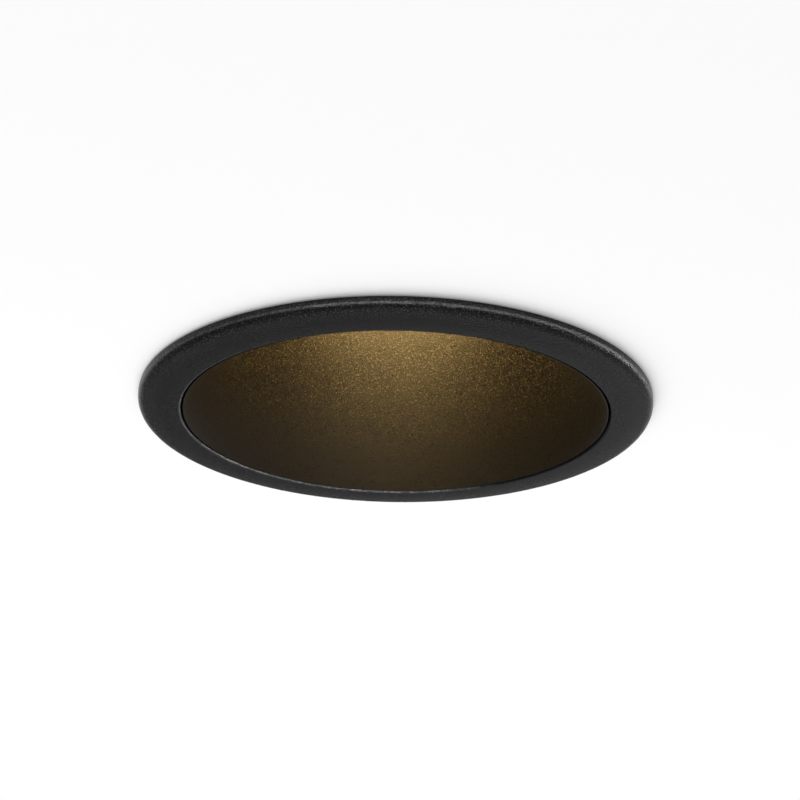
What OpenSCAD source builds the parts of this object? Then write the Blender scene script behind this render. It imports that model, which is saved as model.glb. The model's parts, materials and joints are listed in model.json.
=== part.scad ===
// Recessed soffit downlight with a deep black reflector.
// The frame: the soffit's underside is the plane z = 0, the room is below it, and +Z runs up into the void.
// Lengths are in millimetres.

/* [Trim ring] */
// Diameter of the clear opening inside the trim ring
aperture_d = 83.8; // [80:0.1:88]
// Depth of the trim ring below the soffit
trim_t = 2.5; // [2.2:0.1:4]
// Radius of the ring's rounded outer edge
edge_r = 1.5; // [0.6:0.1:1.8]
// Radius of the ring's small inner edge
lip_r = 0.25; // [0.1:0.05:0.4]
// Width of the ledge that carries the reflector's brim
ledge_w = 1.3; // [1.1:0.1:2]
// Height of the ledge above the soffit's underside
ledge_z = 1.6; // [1:0.1:3]
// Wall of the collar that stands in the soffit's cut-out
collar_wall = 2.3; // [2:0.1:3]
// Height of the collar above the soffit's underside
collar_h = 9.2; // [8:0.1:11]
// Radial gap between the collar and the soffit's cut-out
cutout_gap = 0.5; // [0.3:0.1:1]
// How far the ring overlaps the soffit round the cut-out
overlap_w = 4; // [3.5:0.1:8]

/* [Flange gasket] */
// Width of the foam gasket in the ring's back
gasket_w = 2.4; // [1.8:0.1:2.8]
// Thickness of the gasket as fitted
gasket_t = 1.4; // [1:0.1:1.6]
// How far the gasket stands out of its groove
gasket_proud = 0.2; // [0.1:0.05:0.3]

/* [Reflector] */
// How far the reflector's neck lies inside the opening of the glass gasket
neck_margin = 1.4; // [1.3:0.1:2]
// Height of the reflector's neck above the soffit's underside
neck_z = 39.6; // [37:0.2:42]
// Wall of the spun reflector
reflector_wall = 1; // [0.8:0.1:1.2]
// Radial gap between the reflector's rim and the ring
rim_gap = 0.4; // [0.2:0.05:0.6]
// How far the reflector's rim stays above the ring's face
rim_inset = 0.3; // [0.1:0.05:0.8]
// Thickness of the reflector's brim
brim_t = 0.8; // [0.6:0.1:1.2]

/* [Housing] */
// Wall of the cast housing
housing_wall = 2; // [1.6:0.1:2.4]
// Air gap between the reflector and the housing
housing_gap = 1; // [0.6:0.1:1.4]
// Length of the round chamber between the glass and the heat sink
chamber_h = 13.4; // [13:0.1:16]
// Thickness of the shoulder that the glass is clamped against
shoulder_t = 2; // [1.6:0.1:3]
// How far the shoulder reaches in over the edge of the glass
shoulder_w = 2; // [1.4:0.1:3]
// How far the housing's top flange and the heat sink stand out from the barrel
sink_rim = 4.9; // [4.2:0.1:5.6]
// Thickness of the housing's top flange
flange_t = 4; // [3:0.1:5]
// Number of screws that hold the heat sink on
sink_screw_count = 4; // [4:1:5]

/* [Cover glass] */
// Diameter of the toughened cover glass
glass_d = 54; // [53:0.5:56]
// Thickness of the cover glass
glass_t = 4; // [3:0.5:5]
// Lip of the silicone gasket over each face of the glass
glass_lip = 1; // [0.8:0.1:1.4]
// Wall of the silicone gasket outside the glass
glass_seal_w = 2.6; // [2:0.1:3]
// Overlap of the gasket's lips on the glass
glass_grip = 1.6; // [1:0.1:2]
// Thickness of the threaded ring under the glass
ring_t = 2; // [1.6:0.1:2.6]

/* [Light engine] */
// Side of the square light-emitting board
board_w = 19; // [17:0.5:20]
// Thickness of the board
board_t = 1.2; // [1:0.1:1.6]
// Thickness of the thermal pad behind the board
pad_t = 0.4; // [0.3:0.1:0.6]
// Diameter of the yellow emitting surface
emitter_d = 13; // [10:0.5:14]
// Thickness of the emitting surface
emitter_t = 0.4; // [0.3:0.1:0.6]
// Outer diameter of the board's holder
holder_d = 36; // [34:0.5:38]
// Thickness of the board's holder
holder_t = 2.6; // [2:0.1:3]
// Diameter of the lens's front face
lens_d = 34; // [30:0.5:36]
// Height of the lens
lens_h = 10; // [9:0.1:11]
// Diameter of the lens round the emitter
lens_foot_d = 17; // [16:0.5:20]
// Wall of the lens holder
lens_wall = 1; // [0.8:0.1:1.4]

/* [Heat sink] */
// Thickness of the heat sink's base
base_t = 5; // [4:0.1:7]
// Height of the fins above the base
fin_h = 19; // [16:0.5:28]
// Thickness of one fin
fin_t = 1.6; // [1.2:0.1:2.2]
// Number of fins
fins = 20; // [12:4:24]
// Outer diameter of the wiring well in the middle
well_d = 40; // [38:0.5:44]
// Wall of the wiring well
well_wall = 5; // [4.5:0.1:6]
// Thickness of the cap over the wiring well
cap_t = 3.4; // [3:0.1:5]
// Thickness of the cap's gasket
cap_seal_t = 0.6; // [0.4:0.1:1]

/* [Cable gland] */
// Diameter of the gland's thread
gland_d = 12; // [11:0.5:14]
// Width across the flats of the gland's hexagons
gland_flats = 15; // [14.5:0.5:18]
// Height of the gland's fixed hexagon
gland_hex_h = 4; // [3:0.1:6]
// Height of the gland's dome nut
gland_nut_h = 10; // [9:0.1:13]
// Bore of the gland's seal, for the supply cable
cable_bore = 6.6; // [5:0.1:7]
// Thickness of the lock nut under the cap
lock_nut_t = 3; // [2:0.1:4]

/* [Spring clips] */
// Height of the clips' pins above the soffit's underside
pin_z = 29; // [28:0.1:31]
// How far a cast pad stands out from the housing's cone at its foot
boss_proud = 0.5; // [0.4:0.1:1]
// Height of a bracket below its pin
bracket_below = 8; // [7.5:0.1:9]
// Height of a bracket above its pin
bracket_above = 9; // [8.5:0.1:10]
// Diameter of a pin
pin_d = 3; // [2.6:0.1:3.2]
// Running clearance of a clip's arm on its pin, on the radius
pin_clear = 0.05; // [0.03:0.01:0.08]
// Length of an arm from its pin to its tip
arm_l = 46; // [40:0.5:48]
// Width of an arm
arm_w = 12; // [11.6:0.1:13]
// Thickness of the spring steel of the arms and brackets
steel_t = 1; // [0.8:0.1:1.2]
// Thickness of the rubber sole under an arm's tip
pad_sole = 2.2; // [1.4:0.1:2.6]
// Lowest height above the soffit's underside that the pads reach
pad_z = 3.1; // [2.6:0.1:6]
// Wire of the torsion springs
wire_d = 1.2; // [1:0.05:1.3]
// Play between a torsion spring's coil and its pin
coil_play = 0.12; // [0.08:0.01:0.2]
// Whole turns of a torsion spring
coil_turns = 4; // [3:1:4]
// Gap between a torsion spring's turns
coil_gap = 0.5; // [0.45:0.05:0.6]

/* [Hidden] */

$fn = 96;
arc_steps = 6;     // straight steps in a rounded edge
eps = 0.01;        // overreach of a cut
sliding = 0.1;     // radial gap between round parts that slide into each other
thread_gap = 0.02; // radial gap between a screw and its tapped hole, and of a pin in its ears

// Trim ring
aperture_r = aperture_d / 2;
bore_r = aperture_r + ledge_w;            // bore of the collar
collar_r = bore_r + collar_wall;
cutout_r = collar_r + cutout_gap;         // the hole in the soffit
trim_r = cutout_r + overlap_w;
gasket_r0 = collar_r + 0.9;               // inner radius of the gasket's groove
gasket_r1 = gasket_r0 + gasket_w;

// Cover glass
glass_r = glass_d / 2;
seal_opening_r = glass_r - glass_grip;    // inside the gasket's lips

// Reflector: a straight cone from its rim to its neck
rim_r = aperture_r - rim_gap;             // outside of the rim
rim_z = -trim_t + rim_inset;
rim_edge = 0.2;                           // width of the rim's lower edge
neck_r = seal_opening_r - neck_margin;
cone_slope = (rim_r - rim_edge - neck_r) / (neck_z - rim_z);
cone_wall = reflector_wall * sqrt(1 + cone_slope * cone_slope);
function cone_r(z) = rim_r - rim_edge - cone_slope * (z - rim_z);
function cone_z(r) = rim_z + (rim_r - rim_edge - r) / cone_slope;
brim_r = bore_r - 2 * sliding;
brim_z = ledge_z + brim_t;                // top of the brim, where the housing's spigot stands

// Seat of the cover glass, from the threaded ring up to the shoulder
seal_r = glass_r + glass_seal_w;          // outside of the silicone gasket
seat_r = seal_r + sliding;                // bore of the housing round the gasket
ring_z = neck_z - 1;                      // underside of the threaded ring
seal_z = ring_z + ring_t;
glass_z = seal_z + glass_lip;
shoulder_z = glass_z + glass_t + glass_lip;
chamber_z = shoulder_z + shoulder_t;
sink_z = chamber_z + chamber_h;           // the heat sink's seat on the housing
sink_seal_t = 0.5;
base_z = sink_z + sink_seal_t;            // underside of the heat sink's base

// Housing: outer profile follows the reflector, then a round chamber
spigot_r = bore_r - sliding;
housing_in = cone_wall + housing_gap;     // from the reflector's inner face to the housing's
housing_out = housing_in + housing_wall * sqrt(1 + cone_slope * cone_slope);
barrel_wall = housing_wall + 0.4;
barrel_r = seat_r + barrel_wall;
sink_r = barrel_r + sink_rim;
chamber_r = seat_r - 0.7;                 // radius of the light chamber above the glass
shoulder_r = glass_r - shoulder_w;
m3_r = 1.5;
m3_head_r = 2.75;
m3_head_h = 2;
screw_end = 0.5;                          // left free below a screw in a blind hole
sink_screw_r = sink_r - 3.8;              // circle of the heat sink's screws
sink_screw_l = flange_t + 1;              // blind tapped holes in the housing's flange
sink_screw_angle = 180 / fins;            // halfway between two fins
fin_pitch = 360 / fins;

// Light engine, hung under the heat sink's base
board_top = base_z - pad_t;
board_z = board_top - board_t;            // underside of the board
emitter_z = board_z - emitter_t;
holder_z = base_z - holder_t;             // underside of the board's holder
holder_r = holder_d / 2;
holder_screw_x = holder_r - 3.5;
lens_top = holder_z - 0.1;
lens_z = lens_top - lens_h;
lens_r = lens_d / 2;
lens_foot_r = lens_foot_d / 2;
lens_ear_r = holder_r + 4.5;              // circle of the lens holder's screws
lens_ear_w = 6;
m2_r = 1;
m2_head_r = 1.9;
m2_head_h = 1.4;
m2_screw_l = 3;                           // thread in the heat sink
lens_ear_t = 1.6;

// Heat sink and wiring well
well_r = well_d / 2;
well_in = well_r - well_wall;
deck_z = base_z + base_t;
fin_top = deck_z + fin_h;
fin_corner = 4;                           // bevel of a fin's outer top corner
cap_z = fin_top + cap_seal_t;
cap_top = cap_z + cap_t;
cap_screw_r = well_in + well_wall / 2;
cap_screw_count = 3;
cap_screw_l = 8;
wire_hole_y = -board_w / 2 - 1.5;         // the leads pass beside the board
wire_hole_r = 2.4;

// Terminal block on the deck of the wiring well
block_w = 16;
block_d = 10;
block_h = 11;
block_y = 2;
pole_x = 4;                               // the two poles lie at plus and minus this
lead_r = 0.9;
lead_x = 1.2;

// Cable gland
gland_r = gland_d / 2;
gland_hex_r = gland_flats / 2 / cos(30);
washer_t = 1;
gland_z = cap_top + washer_t;             // underside of the fixed hexagon
gland_neck = gland_nut_h - 3.5;           // upper thread above the fixed hexagon
neck_top = gland_z + gland_hex_h + gland_neck;
gland_foot = washer_t + cap_t + lock_nut_t + 1.5;
gland_bore_r = gland_r - 1.7;
nut_z = gland_z + gland_hex_h + 0.3;
nut_top = nut_z + gland_nut_h;
cable_r = cable_bore / 2;

// Spring clips: bracket on a cast pad, pin along Y, arm turning about the pin
pin_r = pin_d / 2;
wire_r = wire_d / 2;
turn_steps = 8;                           // rings of the wire in one turn
coil_r = (pin_r + wire_r + coil_play) / cos(180 / turn_steps);
coil_pitch = wire_d + coil_gap;
leg_gap = 0.05;                           // between a spring's leg and the steel it bears on
coil_out = coil_r + wire_r + leg_gap;     // from the pin's axis to the steel beside the coil
bracket_z0 = pin_z - bracket_below;
bracket_z1 = pin_z + bracket_above;
boss_x = cone_r(bracket_z0) + housing_out + boss_proud;   // face of the cast pad
plate_x = boss_x + steel_t;               // outer face of the bracket's back plate
pin_x = plate_x + coil_out;
ear_gap = 0.3;                            // play between the arm's cheeks and the bracket's ears
ear_y = arm_w / 2 + ear_gap;              // inner face of a bracket's ear
ear_r = pin_r + 1.1;
bracket_screw_inset = 3;                  // from a bracket's end to its screw
bracket_screw_z = [bracket_z0 + bracket_screw_inset, bracket_z1 - bracket_screw_inset];
bracket_screw_r = 1.25;
bracket_head_r = 2.2;
bracket_screw_l = 2.6;                    // thread in the cast pad
bracket_head_h = 1.3;
pin_head_r = pin_r + 0.8;
pin_head_h = 0.6;
pin_half = ear_y + steel_t;               // the pin reaches the outer face of each ear
boss_w = 2 * pin_half + 2.4;

// Arm: a channel with its web below the spring, drawn flat along u with the pin at the origin, v up
blade_top = -coil_out;                    // the spring's moving leg lies on the web
blade_v = blade_top - steel_t;
web_u = 2;                                // the web starts clear of the bracket's lower screw
fork_l = 21;                              // length of the channel's walls
cheek_r = coil_out - 0.3;                 // round back of a wall
arm_tip_r = 3;                            // round corners of the tip
arm_hole_r = 2;
arm_hole_u = (fork_l + arm_l) / 2 - 3;
pad_l = 9;                                // length of the rubber pad on the tip
pad_wall = 1;
pad_v = blade_v - pad_sole;               // underside of the pad
pad_round = 1.2;
arm_reach = arm_l + pad_wall;             // the pad's end

// The arm's slope at rest: the round lower edge of the pad's end comes down to pad_z
toe_u = arm_reach - pad_round;
toe_v = pad_v + pad_round;
rest_angle = -asin((pin_z - pad_z - pad_round) / norm([toe_u, toe_v])) - atan2(toe_v, toe_u);

// The walls' heels stop the arm on the back plate
heel_gap = 0.06;
heel_u = (blade_v * sin(rest_angle) - coil_out + heel_gap) / cos(rest_angle);

// Torsion spring: coil along Y on the pin, a leg on the arm's web and a leg up the back plate
leg_moving = 16;
leg_fixed = 7.5;
moving_angle = rest_angle - 90;           // where the moving leg leaves the coil
fixed_angle = 180;                        // where the fixed leg leaves it
coil_sweep = fixed_angle - moving_angle - 360 * (coil_turns + 1);
coil_steps = ceil(turn_steps * abs(coil_sweep) / 360);
coil_half = coil_pitch * abs(coil_sweep) / 720;
wire_sides = 6;

// ---- helpers ----

function arc(r, z, radius, from, to) =
    [for (i = [0:arc_steps]) let (a = from + (to - from) * i / arc_steps)
        [r + radius * cos(a), z + radius * sin(a)]];

module ring(r0, r1, z0, z1) {
    translate([0, 0, z0]) difference() {
        cylinder(r = r1, h = z1 - z0);
        translate([0, 0, -eps]) cylinder(r = r0, h = z1 - z0 + 2 * eps);
    }
}

module disc(r, z0, z1) {
    translate([0, 0, z0]) cylinder(r = r, h = z1 - z0);
}

module hexagon(r, z0, z1) {
    translate([0, 0, z0]) cylinder(r = r, h = z1 - z0, $fn = 6);
}

// A turned part from its half section
module turned(points) {
    rotate_extrude() polygon(points);
}

// Copies its children n times about Z, the first at an angle
module around(n, first = 0) {
    for (i = [0:n - 1]) rotate([0, 0, first + 360 * i / n]) children();
}

// A pan-head screw with its head's seat at z = 0, the thread pointing down
module pan_screw(thread_r, length, head_r, head_h, drive = 0.4) {
    difference() {
        union() {
            translate([0, 0, -length]) cylinder(r = thread_r, h = length, $fn = 32);
            turned([[0, -eps], [0, head_h], [head_r * 0.55, head_h], [head_r * 0.9, head_h * 0.7],
                    [head_r, head_h * 0.3], [head_r, 0], [thread_r / 2, 0], [thread_r / 2, -eps]]);
        }
        translate([0, 0, head_h * 0.45]) cylinder(r = head_r * drive, h = head_h, $fn = 6);
    }
}

// ---- trim ring, gasket and reflector ----

trim_screw_z = (brim_z + collar_h) / 2;
trim_screw_first = 75;                    // clear of the clips at 0 and 180 degrees

module trim_screw_holes(r) {
    around(3, trim_screw_first)
        translate([collar_r - collar_wall - 1, 0, trim_screw_z]) rotate([0, 90, 0])
            cylinder(r = r, h = collar_wall + 2, $fn = 32);
}

module trim_ring() {
    color("#2b2b2b") difference() {
        turned(concat(
            [[aperture_r, ledge_z]],
            arc(aperture_r + lip_r, -trim_t + lip_r, lip_r, 180, 270),
            arc(trim_r - edge_r, -trim_t + edge_r, edge_r, 270, 360),
            [[trim_r, -gasket_proud], [gasket_r1, -gasket_proud], [gasket_r1, -gasket_t],
             [gasket_r0, -gasket_t], [gasket_r0, -gasket_proud], [collar_r, -gasket_proud],
             [collar_r, collar_h], [bore_r, collar_h], [bore_r, ledge_z]]));
        trim_screw_holes(m3_r + thread_gap);
    }
}

module flange_gasket() {
    color("#3a3a3c") ring(gasket_r0, gasket_r1, -gasket_t, 0);
}

module reflector() {
    color("#241f17") turned([
        [cone_r(rim_z), rim_z], [rim_r, rim_z],
        [rim_r, min(cone_z(rim_r - cone_wall), ledge_z - 0.4)],
        [cone_r(ledge_z) + cone_wall, ledge_z], [brim_r, ledge_z], [brim_r, brim_z],
        [cone_r(brim_z) + cone_wall, brim_z],
        [neck_r + cone_wall, neck_z], [neck_r, neck_z]]);
}

// Grub screws through the collar that bite on the housing's spigot
module trim_screws() {
    socket = 1.3;
    sunk = 0.3;
    color("#8d8f92") around(3, trim_screw_first)
        translate([spigot_r, 0, trim_screw_z]) rotate([0, 90, 0]) difference() {
            cylinder(r = m3_r, h = collar_r - spigot_r - sunk, $fn = 32);
            translate([0, 0, collar_r - spigot_r - socket]) cylinder(r = 0.85, h = socket, $fn = 6);
        }
}

// ---- housing ----

housing_knee = cone_z(barrel_r - housing_out);   // the cone meets the round barrel
seat_knee = cone_z(seat_r - housing_in);         // the inner cone meets the glass seat

module housing() {
    flange_z = sink_z - flange_t;
    color("#2e2f31") difference() {
        union() {
            turned([
                [cone_r(brim_z) + housing_in, brim_z], [spigot_r, brim_z], [spigot_r, collar_h + 0.4],
                [min(spigot_r, cone_r(collar_h + 0.4) + housing_out), collar_h + 0.4],
                [barrel_r, housing_knee], [barrel_r, flange_z - 2.5], [sink_r, flange_z],
                [sink_r, sink_z], [chamber_r, sink_z], [chamber_r, chamber_z],
                [shoulder_r, chamber_z], [shoulder_r, shoulder_z], [seat_r, shoulder_z],
                [seat_r, seat_knee]]);
            for (side = [-1, 1]) clip_pad_boss(side);
        }
        around(sink_screw_count, sink_screw_angle)
            translate([sink_screw_r, 0, sink_z - sink_screw_l])
                cylinder(r = m3_r + thread_gap, h = sink_screw_l + 1, $fn = 32);
        for (side = [-1, 1]) for (z = bracket_screw_z)
            translate([side * (boss_x + eps), 0, z]) rotate([0, -90 * side, 0])
                cylinder(r = bracket_screw_r + thread_gap, h = bracket_screw_l + 0.4, $fn = 24);
    }
}

// The cast pad that carries a clip's bracket; its back stays outside the housing's bore
module clip_pad_boss(side) {
    intersection() {
        translate([side > 0 ? 0 : -boss_x, -boss_w / 2, bracket_z0])
            cube([boss_x, boss_w, bracket_z1 - bracket_z0]);
        turned([
            [cone_r(bracket_z0) + housing_in + 0.5, bracket_z0 - 1], [2 * boss_x, bracket_z0 - 1],
            [2 * boss_x, bracket_z1 + 1], [seat_r + 0.5, bracket_z1 + 1], [seat_r + 0.5, seat_knee]]);
    }
}

// ---- cover glass ----

module glass_ring() {
    inner_r = seal_opening_r + 2 * sliding;
    color("#8f9194") difference() {
        ring(inner_r, seat_r - sliding, ring_z, seal_z);
        around(2) translate([inner_r - 1, -1.2, ring_z - 1]) cube([2.6, 2.4, 2]);
    }
}

module glass_gasket() {
    color("#b9bcbf") turned([
        [seal_opening_r, seal_z], [seal_r, seal_z], [seal_r, shoulder_z],
        [seal_opening_r, shoulder_z], [seal_opening_r, glass_z + glass_t],
        [glass_r, glass_z + glass_t], [glass_r, glass_z], [seal_opening_r, glass_z]]);
}

module cover_glass() {
    edge = 0.4;
    color("#d7e6e8", 0.4) turned([
        [0, glass_z], [glass_r - edge, glass_z], [glass_r, glass_z + edge],
        [glass_r, glass_z + glass_t - edge], [glass_r - edge, glass_z + glass_t], [0, glass_z + glass_t]]);
}

// ---- light engine ----

module lens() {
    pocket_r = emitter_d / 2 + 0.6;
    pocket_h = 3.4;
    color("#e8f0f2", 0.5) turned([
        [0, lens_z + 0.8], [lens_r * 0.5, lens_z + 0.2], [lens_r - 1, lens_z], [lens_r, lens_z + 0.4],
        [lens_r, lens_z + 1.8], [lens_r * 0.85, lens_z + lens_h * 0.5], [lens_foot_r, lens_top],
        [pocket_r, lens_top], [pocket_r - 0.6, lens_top - pocket_h], [0, lens_top - pocket_h - 0.8]]);
}

module lens_holder() {
    lip = 1;
    cup_r = lens_r + sliding + lens_wall;
    color("#232425") difference() {
        union() {
            turned([
                [lens_r - lip, lens_z - 0.8], [cup_r, lens_z - 0.8], [cup_r, lens_z + 3],
                [holder_r + 0.8 + lens_wall, holder_z - 1.4], [holder_r + 0.8 + lens_wall, base_z],
                [holder_r + 0.8, base_z], [holder_r + 0.8, holder_z - 1.4],
                [cup_r - lens_wall, lens_z + 3], [cup_r - lens_wall, lens_z - sliding / 2],
                [lens_r - lip, lens_z - sliding / 2]]);
            for (side = [-1, 1]) difference() {
                union() {
                    translate([0, side * lens_ear_r, base_z - lens_ear_t])
                        cylinder(r = lens_ear_w / 2, h = lens_ear_t, $fn = 48);
                    translate([-lens_ear_w / 2, side > 0 ? 0 : -lens_ear_r, base_z - lens_ear_t])
                        cube([lens_ear_w, lens_ear_r, lens_ear_t]);
                }
                disc(holder_r + 1.2, base_z - 3, base_z + 1);
            }
        }
        for (side = [-1, 1]) translate([0, side * lens_ear_r, base_z - 3])
            cylinder(r = m2_r + sliding, h = 4, $fn = 24);
    }
}

module lens_screws() {
    color("#9b9da0") for (side = [-1, 1])
        translate([0, side * lens_ear_r, base_z - lens_ear_t]) rotate([180, 0, 0])
            pan_screw(m2_r, lens_ear_t + m2_screw_l, m2_head_r, m2_head_h);
}

module emitter() {
    color("#f2c94c") disc(emitter_d / 2, emitter_z, board_z);
}

module emitter_board() {
    color("#e9e9e4") translate([-board_w / 2, -board_w / 2, board_z]) cube([board_w, board_w, board_t]);
}

module thermal_pad() {
    color("#9aa0a6") translate([-board_w / 2, -board_w / 2, board_top]) cube([board_w, board_w, pad_t]);
}

module board_holder() {
    color("#f0f0ec") difference() {
        disc(holder_r, holder_z, base_z);
        disc(emitter_d / 2 + 1.4, holder_z - 1, base_z + 1);
        translate([-board_w / 2 - sliding, -board_w / 2 - sliding, board_z])
            cube([board_w + 2 * sliding, board_w + 2 * sliding, base_z - board_z + 1]);
        for (side = [-1, 1]) {
            translate([side * holder_screw_x, 0, holder_z - 1])
                cylinder(r = m2_r + sliding, h = holder_t + 2, $fn = 24);
            translate([side * lead_x, wire_hole_y, holder_z - 1])
                cylinder(r = lead_r + sliding, h = holder_t + 2, $fn = 24);
        }
    }
}

module holder_screws() {
    color("#9b9da0") for (side = [-1, 1])
        translate([side * holder_screw_x, 0, holder_z]) rotate([180, 0, 0])
            pan_screw(m2_r, holder_t + m2_screw_l, m2_head_r, 1);
}

// ---- heat sink ----

module sink_gasket() {
    color("#b9bcbf") difference() {
        ring(chamber_r + 0.4, sink_r - 0.6, sink_z, base_z);
        around(sink_screw_count, sink_screw_angle)
            translate([sink_screw_r, 0, sink_z - 1]) cylinder(r = m3_r + sliding, h = 3, $fn = 32);
    }
}

module fin() {
    translate([0, fin_t / 2, 0]) rotate([90, 0, 0]) linear_extrude(fin_t)
        polygon([[well_r - 1, deck_z - 1], [sink_r, deck_z - 1], [sink_r, fin_top - fin_corner],
                 [sink_r - fin_corner, fin_top], [well_r - 1, fin_top]]);
}

module heat_sink() {
    color("#26282a") difference() {
        union() {
            disc(sink_r, base_z, deck_z);
            disc(well_r, deck_z - 1, fin_top);
            around(fins) fin();
        }
        disc(well_in, deck_z, fin_top + 1);
        translate([0, wire_hole_y, base_z - 1]) cylinder(r = wire_hole_r, h = base_t + 2, $fn = 32);
        around(sink_screw_count, sink_screw_angle)
            translate([sink_screw_r, 0, base_z - 1]) cylinder(r = m3_r + sliding, h = base_t + 2, $fn = 32);
        around(cap_screw_count, sink_screw_angle)
            translate([cap_screw_r, 0, fin_top - cap_screw_l])
                cylinder(r = m3_r + thread_gap, h = cap_screw_l + 1, $fn = 32);
        for (side = [-1, 1]) for (place = [[holder_screw_x, 0], [0, lens_ear_r]])
            translate([side * place[0], side * place[1], base_z - 1])
                cylinder(r = m2_r + thread_gap, h = m2_screw_l + 1.4, $fn = 24);
    }
}

module sink_screws() {
    color("#a9abae") around(sink_screw_count, sink_screw_angle)
        translate([sink_screw_r, 0, deck_z])
            pan_screw(m3_r, base_t + sink_seal_t + sink_screw_l - screw_end, m3_head_r, m3_head_h);
}

// ---- wiring well ----

module terminal_block() {
    color("#e6e4dc") difference() {
        translate([-block_w / 2, block_y - block_d / 2, deck_z]) cube([block_w, block_d, block_h]);
        for (side = [-1, 1]) {
            translate([side * pole_x, block_y, deck_z + 3]) cylinder(r = 1.7, h = block_h, $fn = 32);
            translate([side * pole_x, block_y - block_d, deck_z + 3.6]) rotate([-90, 0, 0])
                cylinder(r = 1.4, h = 2 * block_d, $fn = 32);
        }
        translate([-0.5, block_y - block_d, deck_z + block_h - 3]) cube([1, 2 * block_d, 4]);
    }
}

module terminal_screws() {
    color("#c9a34a") for (side = [-1, 1]) translate([side * pole_x, block_y, deck_z + 4.8]) difference() {
        cylinder(r = 1.65, h = 4, $fn = 32);
        translate([-2, -0.3, 3]) cube([4, 0.6, 2]);
    }
}

// A round wire swept along points: rings square to the path, on one closed mesh
function unit(v) = v / norm(v);
function tangent(path, i) = unit(path[min(i + 1, len(path) - 1)] - path[max(i - 1, 0)]);
function side_of(t, up) = unit(cross(up, t));
function sweep_ring(path, i, r, sides, up) =
    let (t = tangent(path, i), a = side_of(t, up), b = cross(t, a))
    [for (k = [0:sides - 1]) path[i] + r * (cos(360 * k / sides) * a + sin(360 * k / sides) * b)];

module swept(path, r, sides, up) {
    n = len(path);
    points = [for (i = [0:n - 1]) each sweep_ring(path, i, r, sides, up)];
    walls = [for (i = [0:n - 2]) for (k = [0:sides - 1]) let (m = (k + 1) % sides) each
        [[i * sides + k, i * sides + m, (i + 1) * sides + m],
         [i * sides + k, (i + 1) * sides + m, (i + 1) * sides + k]]];
    caps = [[for (k = [sides - 1:-1:0]) k], [for (k = [0:sides - 1]) (n - 1) * sides + k]];
    polyhedron(points, concat(walls, caps), convexity = 6);
}

// Internal leads, from the board's holder up through the deck to the terminal block
lead_path = [
    [lead_x, wire_hole_y, holder_z + 0.6], [lead_x, wire_hole_y, base_z + 1],
    [lead_x, wire_hole_y, deck_z - 1], [lead_x + 0.3, wire_hole_y + 0.5, deck_z + 1.6],
    [lead_x + 1.2, wire_hole_y + 2, deck_z + 3.1], [pole_x - 0.5, wire_hole_y + 4.6, deck_z + 3.6],
    [pole_x, block_y - block_d / 2 - 0.6, deck_z + 3.6], [pole_x, block_y - block_d / 2 + 3, deck_z + 3.6]];

module lead_positive() {
    color("#b3322b") swept(lead_path, lead_r, 8, [1, 0, 0]);
}

module lead_negative() {
    color("#1c1c1e") mirror([1, 0, 0]) swept(lead_path, lead_r, 8, [1, 0, 0]);
}

module cap_gasket() {
    color("#b9bcbf") difference() {
        ring(well_in, well_r, fin_top, cap_z);
        around(cap_screw_count, sink_screw_angle)
            translate([cap_screw_r, 0, fin_top - 1]) cylinder(r = m3_r + sliding, h = 3, $fn = 32);
    }
}

module rear_cap() {
    edge = 0.8;
    color("#2e2f31") difference() {
        turned([[gland_r + sliding, cap_z], [well_r, cap_z], [well_r, cap_top - edge],
                [well_r - edge, cap_top], [gland_r + sliding, cap_top]]);
        around(cap_screw_count, sink_screw_angle)
            translate([cap_screw_r, 0, cap_z - 1]) cylinder(r = m3_r + sliding, h = cap_t + 2, $fn = 32);
    }
}

module cap_screws() {
    color("#a9abae") around(cap_screw_count, sink_screw_angle)
        translate([cap_screw_r, 0, cap_top])
            pan_screw(m3_r, cap_t + cap_seal_t + cap_screw_l - screw_end, m3_head_r - 0.25, m3_head_h - 0.2);
}

// ---- cable gland ----

module gland_lock_nut() {
    color("#202123") difference() {
        hexagon(gland_hex_r, cap_z - lock_nut_t, cap_z);
        disc(gland_r + sliding / 2, cap_z - lock_nut_t - 1, cap_z + 1);
    }
}

module gland_washer() {
    color("#111213") ring(gland_r + sliding, gland_hex_r - 0.6, cap_top, gland_z);
}

module gland_body() {
    color("#202123") difference() {
        union() {
            disc(gland_r, gland_z - gland_foot, neck_top);
            hexagon(gland_hex_r, gland_z, gland_z + gland_hex_h);
        }
        disc(gland_bore_r, gland_z - gland_foot - 1, neck_top + 1);
    }
}

module gland_seal() {
    seal_foot = gland_z + 1;
    color("#0f1011") ring(cable_r, gland_bore_r - sliding / 2, seal_foot, neck_top + 0.8);
}

module gland_nut() {
    mouth_r = cable_r + 0.5;
    dome_z = nut_top - 3;
    color("#202123") difference() {
        intersection() {
            hexagon(gland_hex_r, nut_z, nut_top);
            turned([
                [0, nut_z - 1], [gland_hex_r - 0.5, nut_z - 1], [gland_hex_r, nut_z + 0.6],
                [gland_hex_r, dome_z], [gland_hex_r - 1.4, nut_top - 1], [mouth_r + 1, nut_top],
                [0, nut_top]]);
        }
        disc(gland_r + sliding / 2, nut_z - 2, neck_top + 1);
        disc(mouth_r, nut_z, nut_top + 1);
    }
}

// ---- spring clips ----

// Draws a right-hand clip part on either side of the lamp
module sided(side) {
    rotate([0, 0, side > 0 ? 0 : 180]) children();
}

// Turns an arm drawn along u, v into its place at rest: u outwards, v up, thickness along Y
module at_rest() {
    translate([pin_x, 0, pin_z]) rotate([0, -rest_angle, 0]) rotate([90, 0, 0]) children();
}

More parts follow.
